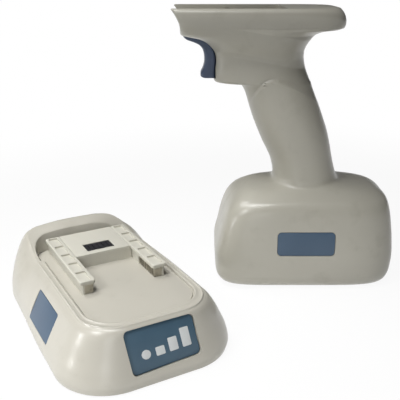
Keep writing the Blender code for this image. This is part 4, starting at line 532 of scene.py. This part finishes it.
def cut_trigger_slot(made, side):
    """Open the head's front between the slot's sides, from the ledge to under the nose."""
    work = bmesh.new()
    work.from_mesh(made.data)
    front, low, high = (MM * edge for edge in ROUND_SLOT)

    def near_slot():
        return [f for f in work.faces if f.calc_center_median().x < front
                and low < f.calc_center_median().z < high]

    for point, normal in (((0, side * SLOT_HALF, 0), (0, 1, 0)), ((0, 0, SLOT_LOW), (0, 0, 1)),
                          ((SLOT_FRONT, 0, 0), (1, 0, 0))):
        faces = near_slot()
        geometry = [*faces, *{e for f in faces for e in f.edges}, *{v for f in faces for v in f.verts}]
        bmesh.ops.bisect_plane(work, geom=geometry, dist=1e-8, plane_co=Vector(point) * MM,
                               plane_no=Vector(normal))
    gone = [f for f in near_slot() if abs(f.calc_center_median().y) < SLOT_HALF * MM
            and f.calc_center_median().z > SLOT_LOW * MM and f.calc_center_median().x > SLOT_FRONT * MM]
    bmesh.ops.delete(work, geom=gone, context="FACES")
    work.to_mesh(made.data)
    work.free()


def across(x, z, radius, low, high):
    """A round bar along y."""
    return placed(slab(rounded(2 * radius, 2 * radius, radius * 0.999, (x, z), 9), low, high),
                  [[1, 0, 0], [0, 0, 1], [0, 1, 0]])


def handset_half(name, side, node):
    """One clamshell half: its skin as a grid, a groove along the seam, the slot, then its wall."""
    grid = body_sections()
    grid[:, :, 1] = np.maximum(grid[:, :, 1], SEAM_GAP)
    middle = (grid[:, :1, 0] + grid[:, -1:, 0]) / 2
    grid[:, [0, -1], 0] += SEAM_GROOVE * np.sign(middle - grid[:, [0, -1], 0])
    rows, columns = grid.shape[:2]
    made = piece(name, (grid.reshape(-1, 3) * [1, side, 1], grid_faces(rows, columns)), HANDSET_GREY,
                 "handset", [node])
    widest = max(made.data.vertices, key=lambda v: abs(v.co.y))
    if widest.normal.y * side < 0:
        made.data.flip_normals()
    cut_trigger_slot(made, side)
    thicken(made, HANDSET_WALL)
    if side < 0:
        carve(made, placed(slab(rounded(*BADGE_POCKET), -BADGE_DEPTH, 6), BADGE_TURN, BADGE_MIDDLE))
    else:
        carve(made, *(across(x, z, WELL_BORE, WELL_SEAT, 60) for x, z in SEAM_SCREWS))
    shade(made, 32)


def screw_wells():
    """Tubes that lead to the screws across the seam, from their seats to inside the far half's wall."""
    grid = body_sections()
    turn = np.linspace(0, 2 * math.pi, 37)[:-1]
    ring = np.column_stack([np.cos(turn), np.zeros(36), np.sin(turn)])
    shapes = []
    for x, z in SEAM_SCREWS:
        near = np.hypot(grid[:, :, 0] - x, grid[:, :, 2] - z)
        end = grid[:, :, 1].ravel()[near.argmin()] - HANDSET_WALL / 2
        rows = [ring * r + (x, y, z) for r, y in ((WELL_BORE, WELL_SEAT), (WELL_BORE, end), (WELL_SKIN, end),
                                                  (WELL_SKIN, WELL_SEAT), (WELL_BORE, WELL_SEAT))]
        shapes.append((np.vstack(rows), grid_faces(5, 36, True)))
    piece("screw_wells", joined(*shapes), HANDSET_GREY, "handset")


CHANNEL_MIDDLE = (-83.2, 0)
CHANNEL_FLOOR = 190.5
PLATE_SCREWS = ((-60.94, 25.5), (-15.25, -25.5))


def dock_plate():
    """Top plate: its sections as a closed tube, with the rails' channel cut in from the nose."""
    levels = spaced(187.24, 5, 189, 8, 197, 10, 200)
    half = half_sections(np.column_stack([levels, through(PLATE_ROWS, levels)]))
    other = half[:, ::-1][:, 1:-1] * [1, -1, 1]
    grid = np.concatenate([half, other], 1)
    made = piece("top_plate", (grid.reshape(-1, 3), tube_faces(len(levels), grid.shape[1])), HANDSET_GREY,
                 "handset", ["dock_plate"])
    undercut = slab(rounded(120, 59.6, 1.2, CHANNEL_MIDDLE), CHANNEL_FLOOR, 195.2)
    mouth = slab(rounded(120, 55.6, 1.2, CHANNEL_MIDDLE), 194, 202)
    lead_hole = slab(rounded(4.2, 4.2, 2.09, (-41.7, 0)), 186, 191)
    wells = [slab(rounded(6.2, 6.2, 3.09, middle), 188.4, 197.9) for middle in PLATE_SCREWS]
    shade(carve(made, undercut, mouth, lead_hole, *wells), 35)


TRIGGER_FRONT = ((-79.2, 152.2), (-80.6, 153.4), (-80.5, 155.0), (-79.5, 157.0), (-78.5, 159.8),
                 (-77.9, 163.4), (-78.1, 167.6), (-79.1, 171.6), (-81.1, 174.2), (-84.1, 175.9),
                 (-87.2, 177.0), (-90.0, 178.0), (-92.0, 179.6), (-92.9, 181.0))
TRIGGER_BACK = ((-69.6, 152.2), (-69.6, 153.5), (-69.6, 155.1), (-69.6, 157.0), (-69.6, 159.6),
                (-69.2, 163.4), (-69.4, 167.8), (-70.6, 172.4), (-73.2, 176.4), (-76.6, 179.6),
                (-81.0, 181.8), (-85.6, 182.8), (-90.0, 183.2), (-92.6, 183.2))
TRIGGER_SQUARE = 5
TRIGGER_HALF = 11.0


def trigger():
    """Trigger: superellipse sections from finger side to back up the slot, pocketed for its spring.

    A section's reach is (|cos|^n + |sin|^n)^(-1/n) with n = TRIGGER_SQUARE, scaled by half the width
    and half the distance between finger side and back. The first and last sections shrink as on a
    quarter circle, so both ends are rounded.
    """
    at = np.linspace(0, 1, len(TRIGGER_FRONT))
    fine = spaced(0, 14, 0.15, 46, 0.92, 12, 1)
    front, back = (through(np.column_stack([at, line]), fine) for line in (TRIGGER_FRONT, TRIGGER_BACK))
    turn = np.linspace(0, 2 * math.pi, 65)[:-1]
    reach = (np.abs(np.cos(turn)) ** TRIGGER_SQUARE + np.abs(np.sin(turn)) ** TRIGGER_SQUARE) ** (
        -1 / TRIGGER_SQUARE)
    end = np.clip(np.minimum(fine / 0.03, (1 - fine) / 0.02), 0, 1)
    full = np.sqrt(1 - (1 - end) ** 2)[:, None]
    depth = np.sin(turn) * reach * (0.86 + 0.14 * full)
    y = np.cos(turn) * reach * TRIGGER_HALF * (0.95 + 0.05 * full)
    flat = ((front + back) / 2)[:, None, :] + ((front - back) / 2)[:, None, :] * depth[:, :, None]
    lever = np.stack([flat[:, :, 0], y, flat[:, :, 1]], 2).reshape(-1, 3), tube_faces(len(fine), len(turn))
    eye = across(-87.6, 183.6, 2.8, -4, 4)
    made = piece("trigger_lever", joined(lever, eye), TRIGGER_BLUE, "trigger", ["trigger"], 40)
    pocket = slab(rounded(12.4, 6.6, 1.0, (-66.9, 0)), 149.8, 159.6)
    shade(carve(made, pocket), 40)


def base_badge():
    """Bare badge in the base's pocket, with rounded edges."""
    flat = slab(rounded(*BADGE), -BADGE_DEPTH, -0.05, 0.25)
    piece("base_foil_badge", placed(flat, BADGE_TURN, BADGE_MIDDLE), BADGE_BLUE, "handset",
          ["base_badge"], 50)


# Cradle, in its own millimetres: u to the right, v to the back

TURN = math.radians(29.1)
CRADLE_FRAME = [[math.cos(TURN), -math.sin(TURN), 0], [math.sin(TURN), math.cos(TURN), 0], [0, 0, 1]]
CRADLE_AT = (-143.7, -70.8, 0)
PANEL_TURN = [[1, 0, 0], [0, 0.2873, -0.9578], [0, 0.9578, 0.2873]]
PANEL_MIDDLE = (0.8, -84.0, 21.3)
SIDE_TURN = [[0.004164, 0.444189, -0.895923],
             [-0.999991, 0.001850, -0.003731],
             [0.000000, 0.895931, 0.444193]]
SIDE_MIDDLE = (-50.354, -16.998, 20.172)
# Rows from the floor up: half width in front and behind, front, back, corner radii, height, hump's share
SKIN_ROWS = (
    (55.6, 53.6, 89.2, 83.8, 34, 33, 1.0, 0.00), (56.4, 54.4, 89.6, 84.3, 34, 33, 4.6, 0.03),
    (55.2, 53.8, 87.6, 82.2, 32, 31, 11.1, 0.16), (52.0, 51.6, 85.0, 78.3, 30, 30, 19.1, 0.40),
    (47.6, 47.2, 82.6, 72.8, 26.5, 28, 27.3, 0.68), (43.4, 43.0, 80.8, 64.0, 24.5, 23, 33.3, 0.90),
    (40.8, 41.0, 79.4, 58.8, 23, 21.3, 35.4, 1.00), (39.9, 40.2, 78.8, 57.8, 22.5, 21, 35.9, 1.01))
SKIN_STEPS = 46
# Between the front's half width and the back's, along v
TAPER_FROM = -25.3
TAPER_LENGTH = 70.1
# The hump: its rise, where it starts to climb on the left, how much later on the right, where it is full
RISE = 15.2
CLIMB_FROM = 26.0
CLIMB_LATER = 15.0
CLIMB_TO = 57.0
# Share of the rise from left to right, by u
ARCH = ((-60, 0.84), (-36, 0.87), (-30, 0.89), (-22, 0.95), (-10, 1.0), (0, 1.0), (10, 0.99),
        (20, 0.91), (30, 0.72), (36, 0.55), (60, 0.42))
NOTCH = 27.6            # v where the recess widens, the notch in the lip's line
NOTCH_LENGTH = 0.9
# Lip between the skin and the recess: share of the way across, height
LIP = 36.6
LIP_BAND = ((0.04, 36.3), (0.07, 36.6), (0.12, 36.75), (0.2, 36.7), (0.28, 36.35), (0.5, 36.25),
            (0.72, 36.35), (0.82, 36.7), (0.9, 36.75))
# Recess in front of the notch: half width, front, back, corner radii
RECESS = (35.6, 72.7, 46.0, 20, 15)
# Its rows inwards: extra width behind the notch, extra length, height, hump's share, shift outwards.
# The groove round the deck comes at 34.5.
RECESS_ROWS = (
    (2.45, 1.9, 36.5, 0.99, 0.08), (2.4, 1.8, 36.15, 0.965, 0.0), (2.2, 0.4, 35.7, 0.30, 0.0),
    (2.1, 0.1, 35.1, 0.04, 0.0), (2.0, 0.0, 34.6, 0.0, -0.08), (2.0, 0.0, 34.5, 0.0, -0.2),
    (2.0, 0.0, 34.5, 0.0, -0.7), (2.0, 0.0, 34.6, 0.0, -0.85), (2.0, 0.0, 35.1, 0.0, -0.95),
    (2.0, 0.0, 35.33, 0.0, -1.15), (2.0, 0.0, 35.4, 0.0, -1.5))
CRADLE_WALL = 1.8
DECK = 35.2             # where what stands on the deck begins
RAIL_TOP = 44.7
RIB_PITCH = 14.8
SOCKET_V = 15.5         # middle of the socket's window
BLADE_PITCH = 3.3


def on_cradle(shape):
    """A cradle's shape in the common frame."""
    return placed(shape, CRADLE_FRAME, CRADLE_AT)


def smooth_rows(rows, count):
    """More rows between the table's, evenly along the profile that the table's rows draw."""
    rows = np.asarray(rows, float)
    steps = np.hypot(np.diff(rows[:, 0]), np.diff(rows[:, 6])) + np.abs(np.diff(rows[:, 3])) * 0.5
    at = np.concatenate([[0], np.cumsum(steps)])
    return through(np.column_stack([at, rows]), np.linspace(0, at[-1], count))


def straight(a, b, count):
    """Evenly spaced points from a towards b, without b."""
    share = np.linspace(0, 1, count, endpoint=False)[:, None]
    return np.array(a) * (1 - share) + np.array(b) * share


def corner(x, y, radius, first, last, count):
    """Points on a circle from one angle towards another, in degrees, without the last."""
    turn = np.radians(np.linspace(first, last, count, endpoint=False))
    return np.column_stack([x + radius * np.cos(turn), y + radius * np.sin(turn)])


def plan_points(half, front, back, front_corner, back_corner):
    """Right half of a rounded rectangle from the middle of its back to the middle of its front.

    Straight stretches and quarter circles each take a fixed count of points, so rows match.
    """
    rear_end, front_end = back - back_corner, front_corner - front
    high = min(NOTCH + 0.2, rear_end - 0.3)
    low = high - 1.4
    return np.vstack([
        straight((0, back), (half - back_corner, back), 22),
        corner(half - back_corner, rear_end, back_corner, 90, 0, 26),
        straight((half, rear_end), (half, high), 8), straight((half, high), (half, low), 6),
        straight((half, low), (half, front_end), 44),
        corner(half - front_corner, front_end, front_corner, 0, -90, 26),
        straight((half - front_corner, -front), (0, -front), 22), [(0, -front)]])


def hump(u, v):
    """Height of the hump over the lip: it climbs along the sides, and arches across the back.

    In the photograph its left arm is long and high, and its right one short and low.
    """
    start = CLIMB_FROM + CLIMB_LATER * ease((u - 4) / 28)
    climb = ease((v - start) / (CLIMB_TO - start))
    return RISE * climb * through(ARCH, np.clip(u, -59, 59))[:, 0]


def skin_ring(row, side):
    """One row of the skin: its plan widened towards the back, lifted by its share of the hump.

    The photograph shows the lip narrower on the right, and on the left a hollower flank in front and
    a squarer corner at the back.
    """
    fore, aft, front, back, front_corner, back_corner, height, share = row
    if side > 0:
        aft -= 2.4 * min(share, 1)
    else:
        fore -= 5.2 * share * (1 - min(share, 1))
        back_corner *= 1.16 - 0.62 * min(share, 1) ** 2
    points = plan_points(fore, front, back, front_corner, back_corner)
    taper = (aft - fore) * ease((points[:, 1] - TAPER_FROM) / TAPER_LENGTH)
    points[:, 0] += taper * np.clip(1.4 * points[:, 0] / fore, 0, 1)
    return np.column_stack([points, height + share * hump(side * points[:, 0], points[:, 1])])


def recess_ring(widen, foot, level, share, shift, side):
    """A row of the recess: narrow in front of the notch, widened behind it, most on the left."""
    half, front, back, front_corner, back_corner = RECESS
    widen, wide_corner = (0.3 * widen, 17) if side > 0 else (widen, 10)
    narrow = plan_points(half + shift, front + shift, back + foot + shift, front_corner + shift,
                         back_corner + foot)
    wide = plan_points(half + widen + shift, front + shift, back + foot + shift, front_corner + shift,
                       wide_corner + foot)
    behind = ease((narrow[:, 1:] - NOTCH + NOTCH_LENGTH) / NOTCH_LENGTH)
    points = narrow * (1 - behind) + wide * behind
    return np.column_stack([points, level + share * hump(side * points[:, 0], points[:, 1])])


def cradle_sections(side):
    """All rows of one half of the cradle's skin: outer skin, lip band, recess wall, groove, deck.

    The lip band's double line fades out behind the notch.
    """
    rings = [skin_ring(row, side) for row in smooth_rows(SKIN_ROWS, SKIN_STEPS)]
    top = rings[-1]
    edge = recess_ring(2.6, 2.2, LIP, 1.0, 0.35, side)
    for share, level in LIP_BAND:
        middle = top * (1 - share) + edge * share
        level = LIP + (level - LIP) * (1 - ease((middle[:, 1] - 22) / 8))
        middle[:, 2] = level + hump(side * middle[:, 0], middle[:, 1])
        rings.append(middle)
    return np.array([*rings, edge, *(recess_ring(*row, side) for row in RECESS_ROWS)])


def cradle_shell():
    """Cradle's housing: mirrored rows as one skin, thickened, with pockets for panel and badge."""
    left = cradle_sections(-1)[:, ::-1][:, 1:-1] * [-1, 1, 1]
    grid = np.concatenate([cradle_sections(1), left], 1)
    rows, columns = grid.shape[:2]
    deck = [list(range((rows - 1) * columns, rows * columns))]
    made = piece("cradle_shell", on_cradle((grid.reshape(-1, 3), grid_faces(rows, columns, True) + deck)),
                 CRADLE_GREY, "cradle", ["cradle_housing"])
    if max(made.data.polygons, key=lambda f: f.area).normal.z < 0:
        made.data.flip_normals()
    thicken(made, CRADLE_WALL)
    carve(made, on_panel(slab(rounded(*PANEL_POCKET), -1.5, 9)),
          on_cradle(placed(slab(rounded(*SIDE_POCKET), -0.7, 9), SIDE_TURN, SIDE_MIDDLE)))
    shade(made, 32)


def on_panel(shape):
    """A shape drawn flat on the front panel: leant and narrowed to the right, as the photograph shows."""
    points, faces = shape
    a, b, c = np.asarray(points, float).T
    leant = np.column_stack([a - 0.10 * b + 0.4, b + 0.0016 * (a + 22) * (13.3 - b), c])
    return on_cradle(placed((leant, faces), PANEL_TURN, PANEL_MIDDLE))


def cradle_piece(name, shape, material, nodes=(), cuts=(), place=on_cradle):
    """A piece of the cradle, with its cuts, brought to its place."""
    made = piece(name, place(shape), material, "cradle", nodes, 40)
    if cuts:
        shade(carve(made, *(place(cut) for cut in cuts)), 40)


def rail(name, side, node):
    """Rail: a web under an outward lip, five shallow pockets between ribs, and a capped front."""
    web = slab(rounded(7.2, 74.6, 0.6, (side * 24.1, 6.35)), DECK, 43.0)
    lip = slab(rounded(10.0, 75.3, 1.6, (side * 24.4, 5.95)), 42.3, RAIL_TOP, 0.4, 0.3)
    pockets = [slab(rounded(6.2, 12.4, 0.5, (side * 24.5, -23.3 + number * RIB_PITCH)), 43.5, 46)
               for number in range(5)]
    comb = slab(rounded(6.6, 26.0, 0.3, (side * 22.9, -19.4)), 35.0, 41.5)
    cradle_piece(name, joined(web, lip), RAIL_GREY, [node], [*pockets, comb])


def platform():
    """Step between the rails' backs in two tiers, its window, and an insert slotted for the blades."""
    window = slab(rounded(19.4, 11.8, 0.6, (0, SOCKET_V)), 34, 46)
    step = slab(rounded(38.6, 38.6, 0.5, (0, 24.3)), 41.8, RAIL_TOP, 0.35)
    riser = slab(rounded(40.6, 38.5, 0.5, (0, 24.35)), DECK, 41.9)
    insert = slab(rounded(19.2, 11.6, 0.55, (0, SOCKET_V)), 42.9, 44.4, 0.2)
    slots = [slab(rounded(0.5, 7.6, 0.2, (BLADE_PITCH * number, SOCKET_V)), 40, 46)
             for number in range(-2, 3)]
    cradle_piece("dock_step", step, RAIL_GREY, ["dock_platform"], [window])
    cradle_piece("dock_riser", riser, RAIL_GREY, (), [window])
    cradle_piece("socket_insert", insert, BLACK, (), slots)


def front_panel():
    """Foil panel with rounded corners, its round window and three rising bars standing on it."""
    cradle_piece("foil_panel", slab(rounded(*PANEL), -1.5, -1.0, 0.2), PANEL_BLUE,
                 ["level_panel"], place=on_panel)
    lenses = [("round_lens", "power_window", rounded(5.6, 5.6, 2.79, (-11.27, -3.3), 12))]
    for number, (middle, tall) in enumerate((((-2.37, -3.58), 5.3), ((6.15, -1.92), 8.6),
                                             ((14.66, -0.07), 12.3)), 1):
        lenses.append((f"level_lens_{number}", f"level_bar_{number}", rounded(5.7, tall, 0.7, middle, 4)))
    for name, node, outline in lenses:
        cradle_piece(name, slab(outline, -1.3, -0.85, 0.15), PRINT_WHITE, [node], place=on_panel)


def side_badge():
    """Bare badge in its pocket on the cradle's left flank."""
    flat = slab(rounded(*SIDE_BADGE), -0.8, -0.2, 0.2)
    cradle_piece("side_foil_badge", placed(flat, SIDE_TURN, SIDE_MIDDLE), BADGE_BLUE, ["side_badge"])


handset_half("near_half", -1, "housing_left")
handset_half("far_half", 1, "housing_right")
screw_wells()
dock_plate()
trigger()
base_badge()
cradle_shell()
rail("left_rail", -1, "rail_left")
rail("right_rail", 1, "rail_right")
platform()
front_panel()
side_badge()

# Finishes of the pieces carried over from the solids
CARRIED = (
    (BLACK, "switch_body dock_socket dc_inlet contact_block cell_holder_front cell_holder_rear"),
    (RUBBER, "rubber_foot_1 rubber_foot_2 rubber_foot_3 rubber_foot_4"),
    (STEEL, "cover_screw_1 cover_screw_2 plate_screw_1 plate_screw_2 base_screw_1 base_screw_2 "
            "housing_screw_1 housing_screw_2 housing_screw_3 housing_screw_4 trigger_pin trigger_spring"),
    (NICKEL, "contact_comb_left contact_comb_right contact_strip_left contact_strip_right socket_blades "
             "cell_link_front cell_link_rear"),
    (BOARD, "battery_board charger_board light_board"),
    (WRAP, "battery_cell_1 battery_cell_2 battery_cell_3 battery_cell_4 battery_cell_5 battery_cell_6"),
    (COPPER, "charger_coil"), (LEAD, "main_harness switch_lead dock_lead"), (HANDSET_GREY, "bottom_cover"),
    (CRADLE_GREY, "cradle_base"), (PRINT_WHITE, "switch_plunger"))
for finish, names in CARRIED:
    for name in names.split():
        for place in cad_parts[name].material_slots:
            place.material = finish


# Floor, light and camera

FLOOR_HALF = 12.0       # in metres, as all that follows
OTHER_RAYS = 0.08       # the world's strength for all rays but the camera's
CAMERA_AT = (-0.0809, -0.4493, 0.2223)
CAMERA_TILT = 69.81     # degrees up from straight down
CAMERA_LENS = 55.8      # millimetres, for a sensor 36 wide


def studio_floor():
    """Plain pale floor, nearly white to the camera near the set and white farther off."""
    mesh = bpy.data.meshes.new("studio_floor")
    corners = ((-1, -1), (1, -1), (1, 1), (-1, 1))
    mesh.from_pydata([(FLOOR_HALF * a, FLOOR_HALF * b, 0) for a, b in corners], [], [(0, 1, 2, 3)])
    floor = bpy.data.objects.new("studio_floor", mesh)
    bpy.context.scene.collection.objects.link(floor)
    f = Finish("studio_floor")
    f.set(Base_Color=(0.90, 0.90, 0.89), Roughness=0.8)
    glow = f.node("ShaderNodeEmission", {}, {"Color": (1, 1, 1, 1), "Strength": 1.0})
    # By the camera or in a reflection
    seen = f.node("ShaderNodeLightPath").math("MAXIMUM", f.node("ShaderNodeLightPath", output=3))
    reach = f.node("ShaderNodeTexCoord", output=3).length()
    white = reach.ease(0.20, 0.55) * 0.07 + 0.93
    mixed = f.node("ShaderNodeMixShader", {}, [seen * white, Socket(f, f.shader.outputs[0]), glow])
    f.links.new(mixed.port, f.nodes["Material Output"].inputs["Surface"])
    mesh.materials.append(f.material)


def studio_world():
    """White to the camera, a soft even grey to the rest."""
    made = bpy.data.worlds.new("studio")
    made.use_nodes = True
    bpy.context.scene.world = made
    tree = made.node_tree
    background = tree.nodes["Background"]
    rays = tree.nodes.new("ShaderNodeLightPath")
    strength = tree.nodes.new("ShaderNodeMapRange")
    strength.inputs["To Min"].default_value = OTHER_RAYS
    strength.inputs["To Max"].default_value = 1.0
    background.inputs["Color"].default_value = (1, 1, 1, 1)
    tree.links.new(rays.outputs["Is Camera Ray"], strength.inputs["Value"])
    tree.links.new(strength.outputs[0], background.inputs["Strength"])


def lamp(name, place, aim, size, power, spread=60, wide=1):
    """Elliptical area lamp: height of its face in metres, power in watts, spread in degrees."""
    data = bpy.data.lights.new(name, "AREA")
    data.shape = "ELLIPSE"
    data.size = size * wide
    data.size_y = size
    data.spread = math.radians(spread)
    data.energy = power
    made = bpy.data.objects.new(name, data)
    made.location = place
    made.rotation_euler = (Vector(aim) - Vector(place)).to_track_quat("-Z", "Y").to_euler()
    bpy.context.scene.collection.objects.link(made)


def camera():
    """The photograph's camera as worked out: 20.2 degrees down, 620 pixels of focal length in 400."""
    data = bpy.data.cameras.new("view")
    data.lens = CAMERA_LENS
    data.sensor_width = 36
    made = bpy.data.objects.new("view", data)
    made.location = CAMERA_AT
    made.rotation_euler = (math.radians(CAMERA_TILT), 0, 0)
    bpy.context.scene.collection.objects.link(made)
    bpy.context.scene.camera = made


studio_floor()
studio_world()
lamp("key_lamp", (-0.45, -0.45, 0.45), (-0.15, -0.12, 0.0), 0.22, 0.19)
lamp("side_lamp", (-0.42, 0.05, 0.65), (-0.14, -0.08, 0.0), 0.3, 0.24)
lamp("top_lamp", (-0.24, -0.30, 0.80), (-0.10, -0.10, 0.0), 0.16, 0.56, wide=4)
lamp("left_lamp", (-0.65, -0.28, 0.13), (-0.17, -0.12, 0.03), 0.12, 0.065)
lamp("low_lamp", (-0.10, -0.62, 0.12), (-0.08, -0.05, 0.02), 0.2, 0.014, 34)
camera()
bpy.context.scene.view_settings.view_transform = "Standard"
